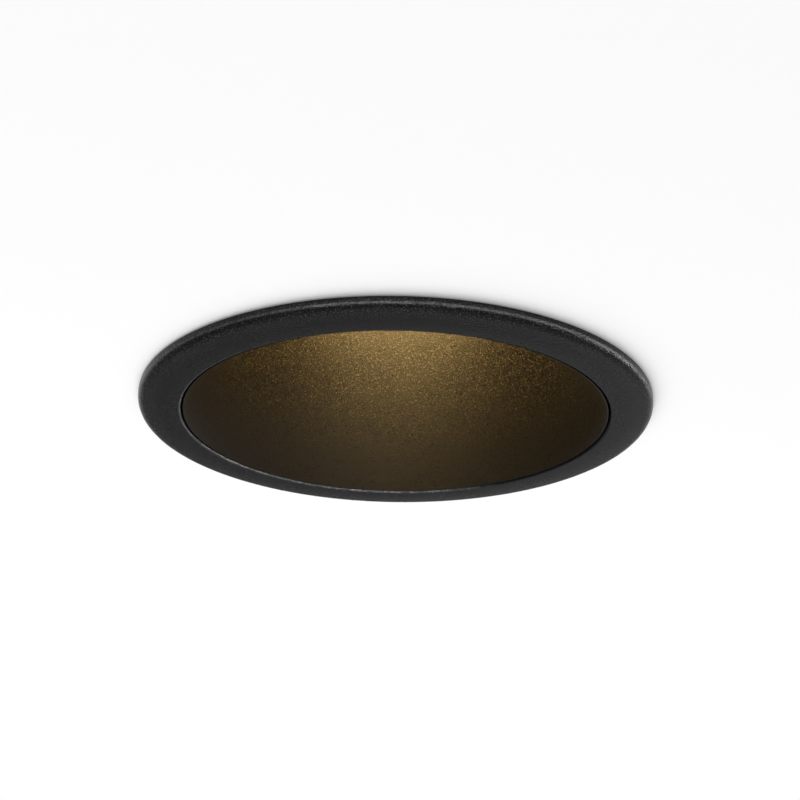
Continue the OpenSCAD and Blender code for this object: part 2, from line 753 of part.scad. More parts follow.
module bracket() {
    ear_foot = 2;                         // from a bracket's end to its ear
    ear_start = -60;
    difference() {
        union() {
            translate([boss_x, -pin_half, bracket_z0]) cube([steel_t, 2 * pin_half, bracket_z1 - bracket_z0]);
            for (y = [-ear_y, pin_half]) translate([0, y, 0]) rotate([90, 0, 0]) linear_extrude(steel_t)
                polygon(concat(
                    [[boss_x, bracket_z0 + ear_foot]],
                    arc(pin_x, pin_z, ear_r, ear_start, 90),
                    [[boss_x, bracket_z1 - ear_foot]]));
        }
        translate([pin_x, pin_half + 1, pin_z]) rotate([90, 0, 0])
            cylinder(r = pin_r + thread_gap, h = 2 * (pin_half + 1), $fn = 48);
        for (z = bracket_screw_z) translate([boss_x - 1, 0, z]) rotate([0, 90, 0])
            cylinder(r = bracket_screw_r + sliding, h = steel_t + 2, $fn = 24);
    }
}

module bracket_screws() {
    for (z = bracket_screw_z) translate([plate_x, 0, z]) rotate([0, 90, 0])
        pan_screw(bracket_screw_r, steel_t + bracket_screw_l, bracket_head_r, bracket_head_h);
}

module clip_pin() {
    translate([pin_x, 0, pin_z]) rotate([90, 0, 0]) {
        translate([0, 0, -pin_half]) cylinder(r = pin_r, h = 2 * pin_half, $fn = 48);
        for (end = [-1, 1]) translate([0, 0, end * pin_half]) mirror([0, 0, end > 0 ? 0 : 1])
            turned([[0, 0], [pin_head_r, 0], [pin_head_r * 0.8, pin_head_h * 0.8],
                    [pin_head_r * 0.4, pin_head_h], [0, pin_head_h]]);
    }
}

// One wall of the channel, with its heel, its round back and the pin's hole
module arm_wall() {
    linear_extrude(steel_t) difference() {
        union() {
            circle(r = cheek_r, $fn = 64);
            polygon([[heel_u, blade_v], [fork_l, blade_v], [fork_l, blade_top], [cheek_r / 2, cheek_r * 0.87],
                     [-cheek_r, 0]]);
        }
        circle(r = pin_r + pin_clear, $fn = 48);
    }
}

// The web seen from above: square towards the pin, round corners at the tip
module web_outline(from) {
    translate([from, -arm_w / 2]) square([arm_l - arm_tip_r - from, arm_w]);
    translate([from, -arm_w / 2 + arm_tip_r]) square([arm_l - from, arm_w - 2 * arm_tip_r]);
    for (y = [-1, 1]) translate([arm_l - arm_tip_r, y * (arm_w / 2 - arm_tip_r)])
        circle(r = arm_tip_r, $fn = 48);
}

module web(from) {
    rotate([-90, 0, 0]) translate([0, 0, blade_v]) linear_extrude(steel_t) web_outline(from);
}

module clip_arm() {
    at_rest() {
        for (y = [-arm_w / 2, arm_w / 2 - steel_t]) translate([0, 0, y]) arm_wall();
        difference() {
            web(web_u);
            translate([arm_hole_u, 0, 0]) rotate([90, 0, 0])
                cylinder(r = arm_hole_r, h = 4 * coil_out, $fn = 48, center = true);
        }
    }
}

// The rubber pad is pushed over the arm's tip
module clip_pad() {
    half = arm_w / 2 + pad_wall;
    heel = arm_reach - pad_l;
    pad_flat = 2.6;                       // flat of the sole behind its round edge
    at_rest() difference() {
        translate([0, 0, -half]) linear_extrude(2 * half)
            polygon(concat(
                [[heel, blade_top + pad_wall], [heel, blade_v - pad_wall]],
                arc(toe_u - pad_flat, toe_v, pad_round, 240, 270),
                arc(toe_u, toe_v, pad_round, 270, 360),
                [[arm_reach, blade_top + pad_wall]]));
        web(heel - 1);
    }
}

// The spring's centreline: moving leg, coil and fixed leg, about the pin in x and z, along Y
function about_pin(a, y) = [pin_x + coil_r * cos(a), y, pin_z + coil_r * sin(a)];
moving_out = [cos(rest_angle), 0, sin(rest_angle)];
spring_path = concat(
    [for (d = [leg_moving, leg_moving / 2, wire_d]) about_pin(moving_angle, -coil_half) + d * moving_out],
    [for (i = [0:coil_steps])
        about_pin(moving_angle + coil_sweep * i / coil_steps, coil_half * (2 * i / coil_steps - 1))],
    [for (d = [wire_d, leg_fixed / 2, leg_fixed]) about_pin(fixed_angle, coil_half) + [0, 0, d]]);

module torsion_spring() {
    swept(spring_path, wire_r, wire_sides, [0, 1, 0]);
}

// Least gap of the spring to itself, between points at least half a turn apart
spring_gap = min([for (i = [0:len(spring_path) - 6]) for (j = [i + 5:len(spring_path) - 1])
    norm(spring_path[i] - spring_path[j])]) - wire_d;
echo(spring_gap = spring_gap);
echo(trim_d = 2 * trim_r, cutout_d = 2 * cutout_r, top_z = nut_top);
echo(rest_angle = rest_angle, pin_x = pin_x, heel_u = heel_u, coil_half = coil_half);

trim_ring();
flange_gasket();
reflector();
trim_screws();
housing();
glass_ring();
glass_gasket();
cover_glass();
lens_holder();
lens();
lens_screws();
emitter();
emitter_board();
board_holder();
holder_screws();
thermal_pad();
sink_gasket();
heat_sink();
sink_screws();
terminal_block();
terminal_screws();
lead_positive();
lead_negative();
cap_gasket();
rear_cap();
cap_screws();
gland_lock_nut();
gland_washer();
gland_body();
gland_seal();
gland_nut();
color("#c4c6c9") sided(-1) bracket();  // clip_bracket_left
color("#c4c6c9") sided(1) bracket();  // clip_bracket_right
color("#9b9da0") sided(-1) bracket_screws();  // bracket_screws_left
color("#9b9da0") sided(1) bracket_screws();  // bracket_screws_right
color("#b4b6b9") sided(-1) clip_pin();  // clip_pin_left
color("#b4b6b9") sided(1) clip_pin();  // clip_pin_right
color("#8c8f94") sided(-1) torsion_spring();  // torsion_spring_left
color("#8c8f94") sided(1) torsion_spring();  // torsion_spring_right
color("#c4c6c9") sided(-1) clip_arm();  // clip_arm_left
color("#c4c6c9") sided(1) clip_arm();  // clip_arm_right
color("#1b1b1c") sided(-1) clip_pad();  // clip_pad_left
color("#1b1b1c") sided(1) clip_pad();  // clip_pad_right
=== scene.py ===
# %% [markdown]
# # Dressing a soffit downlight in Blender
# A recessed downlight is a black ring under the soffit and, out of sight above it, a
# reflector, a cast housing, a finned heat sink and two sprung clips. The CAD model gives the
# exact places. This lesson models the visible skins again with softer edges, paints every
# piece with node materials, and lights the lamp as in a product photograph.

# %% Load the frame
import math

import bpy
from mathutils import Matrix, Vector
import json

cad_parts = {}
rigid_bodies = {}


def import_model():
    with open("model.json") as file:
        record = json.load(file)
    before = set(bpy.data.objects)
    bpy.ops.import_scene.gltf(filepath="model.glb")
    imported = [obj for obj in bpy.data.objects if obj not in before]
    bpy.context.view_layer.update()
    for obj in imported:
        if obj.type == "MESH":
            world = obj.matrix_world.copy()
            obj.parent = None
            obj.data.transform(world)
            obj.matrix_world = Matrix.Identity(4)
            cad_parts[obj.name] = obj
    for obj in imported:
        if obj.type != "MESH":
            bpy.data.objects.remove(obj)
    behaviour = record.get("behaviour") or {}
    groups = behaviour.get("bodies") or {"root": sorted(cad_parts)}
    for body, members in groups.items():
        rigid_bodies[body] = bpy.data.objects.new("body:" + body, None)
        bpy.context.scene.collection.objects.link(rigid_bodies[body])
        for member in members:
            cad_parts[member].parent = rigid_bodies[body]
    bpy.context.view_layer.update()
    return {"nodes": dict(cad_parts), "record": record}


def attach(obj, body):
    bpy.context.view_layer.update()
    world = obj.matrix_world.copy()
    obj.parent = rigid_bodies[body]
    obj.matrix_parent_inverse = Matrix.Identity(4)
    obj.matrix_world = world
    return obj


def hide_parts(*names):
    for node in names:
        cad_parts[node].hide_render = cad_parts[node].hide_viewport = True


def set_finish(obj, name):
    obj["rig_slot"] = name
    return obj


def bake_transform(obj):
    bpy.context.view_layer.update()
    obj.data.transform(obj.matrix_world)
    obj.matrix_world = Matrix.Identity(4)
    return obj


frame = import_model()
MM = 0.001

# %% [markdown]
# ## The camera
# The lamp is seen from below, near the plane of the soffit, from about a quarter of a metre.
# The place, the turn and the lens were found by fitting the outlines of the ring to a
# pinhole camera. A slight roll, pan and tilt are part of that fit, so the camera's axes are
# worked out as vectors and not from a look-at constraint.

# %% Place the camera
TRIM_R = 50
BELOW = math.radians(22.35)
DISTANCE = 4.82 * TRIM_R * MM
PAN, TILT, ROLL = (math.radians(a) for a in (0.195, 0.62, 0.89))
LENS, SENSOR, NEAREST = 54.78, 36, 0.01

eye = Vector((0, -math.cos(BELOW), -math.sin(BELOW))) * DISTANCE
ahead, right = -eye.normalized(), Vector((1, 0, 0))
above = right.cross(ahead)
aim = (ahead * math.cos(PAN) + right * math.sin(PAN)) * math.cos(TILT) + above * math.sin(TILT)
side = aim.cross(above).normalized()
top = side.cross(aim)
camera_x = side * math.cos(ROLL) + top * math.sin(ROLL)
camera_y = top * math.cos(ROLL) - side * math.sin(ROLL)

bpy.ops.object.select_all(action="DESELECT")
bpy.ops.object.camera_add()
camera = bpy.context.object
axes = Matrix((camera_x, camera_y, -aim)).transposed().to_4x4()
camera.matrix_world = Matrix.Translation(eye) @ axes
camera.data.lens = LENS
camera.data.sensor_width = SENSOR
camera.data.clip_start = NEAREST
bpy.context.scene.camera = camera
print("camera", [round(v, 4) for v in camera.location])

# %% [markdown]
# ## Turned pieces
# Most of this lamp is round. On a lathe, a round piece comes from one half section turned
# about an axis, and Blender's Spin does the same. The section starts as a single vertex,
# which is extruded from corner to corner. A corner may carry a radius in millimetres, and
# then a short arc takes its place, so that no edge is razor sharp.

# %% Draw a section with rounded corners
CORNER_STEPS = 5
DOUBLES = 0.002


def arc(centre, radius, start, end, steps):
    """Points on an arc, from one angle in degrees to another."""
    turns = [math.radians(start + (end - start) * i / steps) for i in range(steps + 1)]
    return [(centre[0] + radius * math.cos(a), centre[1] + radius * math.sin(a)) for a in turns]


def rounded(corners):
    """Corners are (x, y) or (x, y, radius); the list is closed on itself."""
    points = []
    for i, corner in enumerate(corners):
        here = Vector(corner[:2])
        if len(corner) == 2:
            points.append(tuple(here))
            continue
        before = (Vector(corners[i - 1][:2]) - here).normalized()
        after = (Vector(corners[(i + 1) % len(corners)][:2]) - here).normalized()
        half = before.angle(after) / 2
        reach = corner[2] / math.tan(half)
        centre = here + (before + after).normalized() * corner[2] / math.sin(half)
        first, last = here + before * reach - centre, here + after * reach - centre
        sweep = first.angle_signed(last)
        for step in range(CORNER_STEPS + 1):
            spoke = first.copy()
            spoke.rotate(Matrix.Rotation(-sweep * step / CORNER_STEPS, 2))
            points.append(tuple(centre + spoke))
    return points


def traced(name, points):
    """One vertex, extruded from point to point in the XZ plane. Leaves edit mode on."""
    bpy.ops.object.select_all(action="DESELECT")
    bpy.ops.mesh.primitive_plane_add(size=MM)
    piece = bpy.context.object
    piece.name = piece.data.name = name
    bpy.ops.object.mode_set(mode="EDIT")
    bpy.ops.mesh.merge(type="CENTER")
    bpy.ops.transform.translate(value=(points[0][0] * MM, 0, points[0][1] * MM))
    for (x0, z0), (x1, z1) in zip(points, points[1:]):
        step = ((x1 - x0) * MM, 0, (z1 - z0) * MM)
        bpy.ops.mesh.extrude_vertices_move(TRANSFORM_OT_translate={"value": step})
    return piece


def shade_smooth(angle=35):
    """Shades what is selected smooth, apart from edges that are sharper than the angle."""
    bpy.ops.object.shade_smooth_by_angle(angle=math.radians(angle))


def close_up(smooth=35):
    """Merges doubles, points the faces outwards and leaves edit mode."""
    bpy.ops.mesh.select_all(action="SELECT")
    bpy.ops.mesh.remove_doubles(threshold=DOUBLES * MM)
    bpy.ops.mesh.normals_make_consistent(inside=False)
    bpy.ops.object.mode_set(mode="OBJECT")
    shade_smooth(smooth)


def turned(name, corners, steps=128):
    """Spins a half section, (radius, height) in millimetres, once round Z."""
    points = rounded(corners)
    piece = traced(name, points + points[:1])
    bpy.ops.mesh.select_all(action="SELECT")
    bpy.ops.mesh.spin(steps=steps, angle=math.tau, center=(0, 0, 0), axis=(0, 0, 1))
    close_up()
    print(name, len(points), "points in its section,", len(piece.data.polygons), "faces")
    return piece


# %% [markdown]
# ## Flat pieces, holes and soft edges
# Sheet steel parts are cut from a flat outline. The outline is traced like a section, filled
# with one face and extruded to its thickness. Holes and joins are Boolean modifiers, applied
# at once, and a Bevel modifier breaks the edges that are left, because a thin highlight along
# an edge is what makes metal look real.

# %% Helpers for plates, joins and bevels
SHARP = math.radians(30)


def plate(name, corners, thickness):
    """An outline in the XZ plane, given a thickness along Y, half to each side."""
    piece = traced(name, rounded(corners))
    bpy.ops.mesh.select_all(action="SELECT")
    bpy.ops.mesh.edge_face_add()
    bpy.ops.transform.translate(value=(0, -thickness / 2 * MM, 0))
    bpy.ops.mesh.extrude_region_move(TRANSFORM_OT_translate={"value": (0, thickness * MM, 0)})
    close_up()
    return piece


def rod(name, radius, low, high, vertices=48):
    """A round or many-sided bar along Z between two heights."""
    bpy.ops.object.select_all(action="DESELECT")
    middle, length = (low + high) / 2 * MM, (high - low) * MM
    bpy.ops.mesh.primitive_cylinder_add(
        vertices=vertices, radius=radius * MM, depth=length, location=(0, 0, middle))
    piece = bpy.context.object
    piece.name = piece.data.name = name
    bpy.ops.object.transform_apply(location=True, rotation=True, scale=True)
    return piece


def apply(piece, kind, **settings):
    """Adds a modifier and applies it. The piece is left active and selected."""
    modifier = piece.modifiers.new(kind.lower(), kind)
    for key, value in settings.items():
        setattr(modifier, key, value)
    bpy.ops.object.select_all(action="DESELECT")
    piece.select_set(True)
    bpy.context.view_layer.objects.active = piece
    bpy.ops.object.modifier_apply(modifier=modifier.name)


def combine(piece, tool, operation):
    """Cuts, unites or intersects a piece with a tool, and removes the tool."""
    apply(piece, "BOOLEAN", operation=operation, object=tool, solver="EXACT")
    bpy.data.objects.remove(tool)
    return piece


def soften(piece, width, segments=2):
    """Bevels the sharp edges to a width in millimetres."""
    apply(piece, "BEVEL", width=width * MM, segments=segments, limit_method="ANGLE",
          angle_limit=SHARP, use_clamp_overlap=True)
    shade_smooth()
    return piece


def placed(piece, matrix):
    """Moves the mesh and not its object, so the object stays at the origin."""
    piece.data.transform(matrix)
    piece.data.update()
    return piece


def copied(piece, matrix, name=None):
    """A copy with a mesh of its own, moved by a matrix."""
    copy = piece.copy()
    copy.data = piece.data.copy()
    copy.name = copy.data.name = name or piece.name
    bpy.context.collection.objects.link(copy)
    return placed(copy, matrix)


def joined(name, pieces):
    """Several pieces as one object."""
    bpy.ops.object.select_all(action="DESELECT")
    for piece in pieces:
        piece.select_set(True)
    bpy.context.view_layer.objects.active = pieces[0]
    bpy.ops.object.join()
    pieces[0].name = pieces[0].data.name = name
    return pieces[0]


def turn(degrees, axis="Z"):
    return Matrix.Rotation(math.radians(degrees), 4, axis)


def shift(x=0, y=0, z=0):
    return Matrix.Translation(Vector((x, y, z)) * MM)


def settle(piece, body, slot, *nodes):
    """Gives a piece its body and its finish, and hides the CAD nodes that it stands for."""
    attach(piece, body)
    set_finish(piece, slot)
    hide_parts(*nodes)
    print(piece.name, "rides on", body, "with", len(piece.data.polygons), "faces")


# %% [markdown]
# ## The trim ring
# The ring is die-cast and powder-coated. Its face is flat, its outer edge is well rounded and
# its inner edge has only a tiny radius, which catches the light as a hairline. A painted
# highlight in the powder coat adds to the lines along both edges. A collar on its back stands
# in the soffit's cut-out, and a groove holds the foam gasket. Three grub screws go through the
# collar. A bevelled cylinder could pass for the ring from below, but the spun section also
# gives the back its real shape. Heights count from the soffit's underside, so what hangs below
# it is negative.

# %% Turn the ring and drill its collar
MOUTH_R, FACE_Z, BRIM_Z = 41.9, -2.5, 1.6
GROOVE_IN, GROOVE_OUT, GROOVE_Z, LIP_Z = 46.4, 48.8, -1.4, -0.2
COLLAR_IN, COLLAR_R, COLLAR_TOP = 43.2, 45.5, 9.2
ROUND_STEPS = 192
trim = turned("trim_ring_turned", [
    (MOUTH_R, BRIM_Z), (MOUTH_R, FACE_Z, 0.4), (TRIM_R, FACE_Z, 1.5), (TRIM_R, LIP_Z, 0.15),
    (GROOVE_OUT, LIP_Z), (GROOVE_OUT, GROOVE_Z), (GROOVE_IN, GROOVE_Z), (GROOVE_IN, LIP_Z),
    (COLLAR_R, LIP_Z), (COLLAR_R, COLLAR_TOP, 0.3), (COLLAR_IN, COLLAR_TOP, 0.3),
    (COLLAR_IN, BRIM_Z)], steps=ROUND_STEPS)

GRUB_ANGLES = [75 + 120 * i for i in range(3)]
GRUB_Z, GRUB_HOLE_R, IN_COLLAR = 5.8, 1.52, 44.5
drill = placed(rod("drill", GRUB_HOLE_R, -3, 3, 32), turn(90, "Y"))
for angle in GRUB_ANGLES:
    combine(trim, copied(drill, turn(angle) @ shift(IN_COLLAR, 0, GRUB_Z)), "DIFFERENCE")
bpy.data.objects.remove(drill)
settle(trim, "lamp", "powder_coat", "trim_ring")

# %% [markdown]
# ## The gasket and the other seals
# Foam and silicone rings never have hard corners. They are turned too, from sections whose
# corner radius is a good part of their thickness. The silicone ring round the glass is
# U-shaped and holds both its faces.

# %% Turn the seals
HOUSING_TOP, SINK_LOW = 62, 62.5
WELL_TOP, CAP_LOW, CAP_TOP, HEX_LOW = 86.5, 87.1, 90.5, 91.5
INLET_R, CABLE_R = 6.1, 3.3


def seal(name, slot, cad_node, radii, heights, corner):
    """A ring of foam or rubber between two radii and two heights."""
    (r0, r1), (z0, z1) = radii, heights
    ring = turned(name, [(r0, z0, corner), (r1, z0, corner), (r1, z1, corner), (r0, z1, corner)])
    settle(ring, "lamp", slot, cad_node)


seal("flange_gasket_foam", "foam", "flange_gasket", (GROOVE_IN, GROOVE_OUT), (GROOVE_Z, 0), 0.3)
seal("sink_gasket_ring", "silicone", "sink_gasket", (29.4, 36.4), (HOUSING_TOP, SINK_LOW), 0.12)
seal("cap_gasket_ring", "silicone", "cap_gasket", (15, 20), (WELL_TOP, CAP_LOW), 0.2)
seal("gland_washer_ring", "rubber_black", "gland_washer", (INLET_R, 8.06), (CAP_TOP, HEX_LOW), 0.35)
seal("gland_seal_sleeve", "rubber_black", "gland_seal", (CABLE_R, 4.25), (92.5, 102.8), 0.3)

GLASS_R, GLASS_LOW, GLASS_TOP = 27, 41.6, 45.6
LIPS_R, CHANNEL_R, CHANNEL_LOW, CHANNEL_TOP = 25.4, 29.6, 40.6, 46.6
glass_seal = turned("glass_gasket_silicone", [
    (LIPS_R, CHANNEL_LOW, 0.3), (CHANNEL_R, CHANNEL_LOW, 0.4), (CHANNEL_R, CHANNEL_TOP, 0.4),
    (LIPS_R, CHANNEL_TOP, 0.3), (LIPS_R, GLASS_TOP, 0.3), (GLASS_R, GLASS_TOP),
    (GLASS_R, GLASS_LOW), (LIPS_R, GLASS_LOW, 0.3)])
settle(glass_seal, "lamp", "silicone", "glass_gasket")

# %% [markdown]
# ## The reflector
# The deep black cone hides the lamp from the side. It is spun from sheet, so its wall is
# even, its rim is folded a little and a brim clamps it between the ring and the housing. A
# cone primitive would have no wall. The section gives the wall, the brim and the rim at once.

# %% Turn the reflector
BRIM_TOP, RIM_Z, NECK_Z = 2.4, -2.2, 39.6
reflector = turned("reflector_spun", [
    (41.3, RIM_Z, 0.06), (41.5, RIM_Z, 0.06), (41.5, -0.07), (40.81, BRIM_Z), (43, BRIM_Z, 0.2),
    (43, BRIM_TOP, 0.2), (40.48, BRIM_TOP), (25.08, NECK_Z, 0.3), (24, NECK_Z, 0.3)],
    steps=ROUND_STEPS)
settle(reflector, "lamp", "reflector_black", "reflector")

# %% [markdown]
# ## The housing
# The housing is cast: a thin cone that follows the reflector, a round barrel for the light
# chamber and a flange for the heat sink. Two cast pads give the clips a flat seat. The body
# is turned. Each pad is a plate whose back follows the slanted wall, joined to the body by a
# Boolean. The Bevel softens the corners that a mould would round.

# %% Turn the housing and add the clip pads
BARREL_R, BARREL_IN, FLANGE_R = 32.1, 29.7, 37
housing = turned("housing_cast", [
    (41.48, BRIM_TOP), (43.1, BRIM_TOP, 0.3), (43.1, 9.6, 0.3), (40.66, 9.6), (BARREL_R, 30.29),
    (BARREL_R, 55.5), (FLANGE_R, 58, 0.8), (FLANGE_R, HOUSING_TOP, 0.4), (29, HOUSING_TOP),
    (29, 48.6), (25, 48.6), (25, CHANNEL_TOP), (BARREL_IN, CHANNEL_TOP), (BARREL_IN, 30.86)],
    steps=144)

SIDES = {"right": 0, "left": 180}
SEAT_X, SEAT_LOW, SEAT_TOP, SEAT_WIDTH = 36.45, 21, 38, 17
for half in SIDES.values():
    pad = plate("clip_seat", [
        (SEAT_X, SEAT_LOW, 0.5), (SEAT_X, SEAT_TOP, 0.5), (30.3, SEAT_TOP), (30.5, 30.3),
        (34.2, SEAT_LOW)], SEAT_WIDTH)
    soften(pad, 0.5)
    combine(housing, placed(pad, turn(half)), "UNION")
shade_smooth()
settle(housing, "lamp", "cast_black", "housing")

# %% [markdown]
# ## The heat sink
# Heat leaves through twenty radial fins that stand on a round base, with a wiring well in the
# middle. The base and the well share one turned section. One fin is modelled as a plate with a
# cut corner, copied round the axis, and all of them are united with the body in one Boolean.

# %% Turn the body and set the fins
BASE_TOP, WELL_R, WELL_IN = 67.5, 20, 15
sink = turned("heat_sink_body", [
    (0, SINK_LOW), (FLANGE_R, SINK_LOW, 0.4), (FLANGE_R, BASE_TOP, 0.4), (WELL_R, BASE_TOP),
    (WELL_R, WELL_TOP, 0.4), (WELL_IN, WELL_TOP, 0.3), (WELL_IN, BASE_TOP), (0, BASE_TOP)],
    steps=160)

FINS, FIN_R, FIN_LOW, FIN_THICK = 20, 36.9, 66.5, 1.6
fin = plate("fin", [
    (19, FIN_LOW), (FIN_R, FIN_LOW), (FIN_R, 82.5, 0.6), (32.9, WELL_TOP, 0.6),
    (20.6, WELL_TOP), (19, 85.5)], FIN_THICK)
soften(fin, 0.3)
fins = joined("fins", [fin] + [copied(fin, turn(360 / FINS * i)) for i in range(1, FINS)])
combine(sink, fins, "UNION")

LEADS_Y, LEAD_HOLE_R = -11, 2.4
drill = rod("drill", LEAD_HOLE_R, 60, 70, 32)
combine(sink, placed(drill, shift(0, LEADS_Y)), "DIFFERENCE")
shade_smooth()
settle(sink, "lamp", "sink_black", "heat_sink")

# %% [markdown]
# ## The cap
# A cast cap closes the wiring well. A shallow recess is turned into its face, and the hole in
# its middle takes the cable gland. All of that is one section.

# %% Turn the cap
RECESS_Z = 90.1
cap = turned("rear_cap_cast", [
    (INLET_R, CAP_LOW), (WELL_R, CAP_LOW, 0.3), (WELL_R, CAP_TOP, 1.1), (16.4, CAP_TOP, 0.2),
    (16, RECESS_Z, 0.2), (10, RECESS_Z, 0.2), (9.6, CAP_TOP, 0.2), (INLET_R, CAP_TOP)])
settle(cap, "lamp", "cast_black", "rear_cap")

# %% [markdown]
# ## The cable gland
# The supply cable would enter through a gland: a fixed hexagon, a rubber washer and a domed
# nut. A hexagon is a six-sided cylinder, and a real nut has its corners turned off, so the
# bar is intersected with a turned shape.

# %% Shape the gland's body and nut
HEX_R, HEX_TOP = 8.66, 95.5
THREAD_R, BORE_R, THREAD_LOW, THREAD_TOP = 6, 4.3, 85.6, 102
gland = rod("gland_body_hex", HEX_R, HEX_LOW, HEX_TOP, 6)
corners_off = turned("chamfer", [
    (0, HEX_LOW), (8.1, HEX_LOW), (8.8, 92), (8.8, 95), (8.1, HEX_TOP), (0, HEX_TOP)])
combine(gland, corners_off, "INTERSECT")
soften(gland, 0.2)
neck = turned("neck", [
    (BORE_R, THREAD_LOW), (THREAD_R, THREAD_LOW, 0.3), (THREAD_R, THREAD_TOP, 0.3),
    (BORE_R, THREAD_TOP)], 64)
combine(gland, neck, "UNION")
combine(gland, rod("drill", BORE_R, 85, 103, 64), "DIFFERENCE")
shade_smooth()
settle(gland, "lamp", "black_plastic", "gland_body")

NUT_LOW, NUT_TOP, NUT_ROOF, NUT_HOLE_R = 95.8, 105.8, 103, 3.8
nut = rod("gland_nut_dome", HEX_R, NUT_LOW, NUT_TOP, 6)
soften(nut, 0.35)
dome = turned("dome", [
    (INLET_R, NUT_LOW), (8.1, NUT_LOW), (8.7, 96.5), (8.7, 102.2, 0.8), (7.3, 104.8, 1),
    (4.9, NUT_TOP, 0.4), (NUT_HOLE_R, NUT_TOP, 0.3), (NUT_HOLE_R, NUT_ROOF),
    (INLET_R, NUT_ROOF)])
combine(nut, dome, "INTERSECT")
shade_smooth()
settle(nut, "lamp", "black_plastic", "gland_nut")

# %% [markdown]
# ## Screws
# Every visible screw has a pan head with a hexagon socket. One screw of each size is turned,
# its socket is cut with a six-sided rod, and the screw is copied to its places. The grub
# screws in the collar have no head, only a socket.

# %% Model one screw of each size and copy it
POINT = 0.3
HEAD_ROUND, KEY_R, KEY_FLOOR = 0.6, 0.42, 0.4


def pan_screw(thread_r, length, head_r, head_h):
    """A screw with its head's seat at height 0. The socket is a share of the head."""
    screw = turned("screw", [
        (0, head_h), (head_r, head_h, head_h * HEAD_ROUND), (head_r, 0, 0.1), (thread_r, 0),
        (thread_r, POINT - length), (thread_r - POINT, -length), (0, -length)], 40)
    key = rod("key", head_r * KEY_R, head_h * KEY_FLOOR, head_h + 1, 6)
    combine(screw, key, "DIFFERENCE")
    shade_smooth()
    return screw


def screw_set(name, cad_node, screw, places):
    """Copies one screw to several places, as one piece."""
    copies = [copied(screw, place) for place in places]
    bpy.data.objects.remove(screw)
    settle(joined(name, copies), "lamp", "stainless", cad_node)


SCREW_ANGLE, SINK_SCREWS_R, CAP_SCREWS_R = 9, 33.2, 17.5
screw_set("sink_screw_set", "sink_screws", pan_screw(1.5, 10, 2.75, 2),
          [turn(SCREW_ANGLE + 90 * i) @ shift(SINK_SCREWS_R, 0, BASE_TOP) for i in range(4)])
screw_set("cap_screw_set", "cap_screws", pan_screw(1.5, 11.5, 2.5, 1.8),
          [turn(SCREW_ANGLE + 120 * i) @ shift(CAP_SCREWS_R, 0, CAP_TOP) for i in range(3)])

BRACKET_X, BRACKET_SCREWS_Z = 37.45, (24, 35)
for side_name, half in SIDES.items():
    screw_set("bracket_screw_set_" + side_name, "bracket_screws_" + side_name,
              pan_screw(1.25, 3.6, 2.2, 1.3),
              [turn(half) @ shift(BRACKET_X, 0, z) @ turn(90, "Y") for z in BRACKET_SCREWS_Z])

GRUB_R, GRUB_LENGTH, GRUB_END_X = 1.5, 2, 43.1
grub = turned("grub", [
    (0, 0), (1.2, 0), (GRUB_R, POINT), (GRUB_R, GRUB_LENGTH, 0.2), (0, GRUB_LENGTH)], 32)
combine(grub, rod("key", 0.85, 1.0, 3, 6), "DIFFERENCE")
screw_set("trim_screw_set", "trim_screws", grub,
          [turn(a) @ shift(GRUB_END_X, 0, GRUB_Z) @ turn(90, "Y") for a in GRUB_ANGLES])

# %% [markdown]
# ## The glass and the lens
# A thick toughened glass closes the light chamber, and a clear lens over the emitter gathers
# the light. Clear pieces need closed shells with clean normals, so both are turned. Fine
# rings on the lens's face spread the beam, as moulded lenses have.

# %% Turn the glass and the lens
glass = turned("cover_glass_disc", [
    (0, GLASS_LOW), (GLASS_R, GLASS_LOW, 0.4), (GLASS_R, GLASS_TOP, 0.4), (0, GLASS_TOP)])
settle(glass, "lamp", "clear_glass", "cover_glass")

LENS_Z, RIPPLE = 49.8, 0.12
ripples = [(r, LENS_Z + RIPPLE * (i % 2)) for i, r in enumerate(range(2, 16))]
lens = turned("lens_moulded", [(0, LENS_Z)] + ripples + [
    (16.4, LENS_Z), (17, 50.2), (17, 51.6), (14.45, 54.8), (8.5, 59.8), (7.1, 59.8), (6.5, 56.4),
    (0, 55.6)], 96)
settle(lens, "lamp", "clear_plastic", "lens")

# %% [markdown]
# ## The clip brackets and pins
# Each clip turns on a steel pin between the ears of a bracket that is screwed to the housing.
# The back plate and the two ears are flat outlines, united and bevelled lightly, as punched
# and deburred sheet is. The right clip is built first. The left one is the same clip turned
# half round the lamp, which is how the real parts are fitted.

# %% Build a bracket and a pin
PIN_X, PIN_Z = 40.4978, 29
BRACKET_WIDTH, EAR_THICK, EAR_Y, EAR_R, EAR_BACK = 14.6, 1, 6.8, 2.6, 36.46
back = plate("clip_bracket", [
    (SEAT_X, SEAT_LOW, 0.8), (BRACKET_X, SEAT_LOW, 0.1), (BRACKET_X, SEAT_TOP, 0.1),
    (SEAT_X, SEAT_TOP, 0.1)], BRACKET_WIDTH)
ear_outline = [(EAR_BACK, 23)] + arc((PIN_X, PIN_Z), EAR_R, -60, 90, 14) + [(EAR_BACK, 36)]
for y in (-EAR_Y, EAR_Y):
    combine(back, placed(plate("ear", ear_outline, EAR_THICK), shift(0, y)), "UNION")
bracket = soften(back, 0.12)

PIN_R, PIN_HALF, HEAD_R = 1.5, 7.3, 2.3
upper = [(PIN_R, PIN_HALF), (HEAD_R, PIN_HALF), (HEAD_R, 7.6, 0.2), (1.4, 7.9), (0, 7.9)]
lower = [(r, -z, *corner) for r, z, *corner in reversed(upper)]
pin = turned("clip_pin", lower + upper, 48)
placed(pin, shift(PIN_X, 0, PIN_Z) @ turn(90, "X"))

# %% [markdown]
# ## The clip arm
# The arm is a strip of spring steel with two folded walls that sit on the pin. It is drawn
# flat, with the pin at the origin, and then turned to its slope at rest.

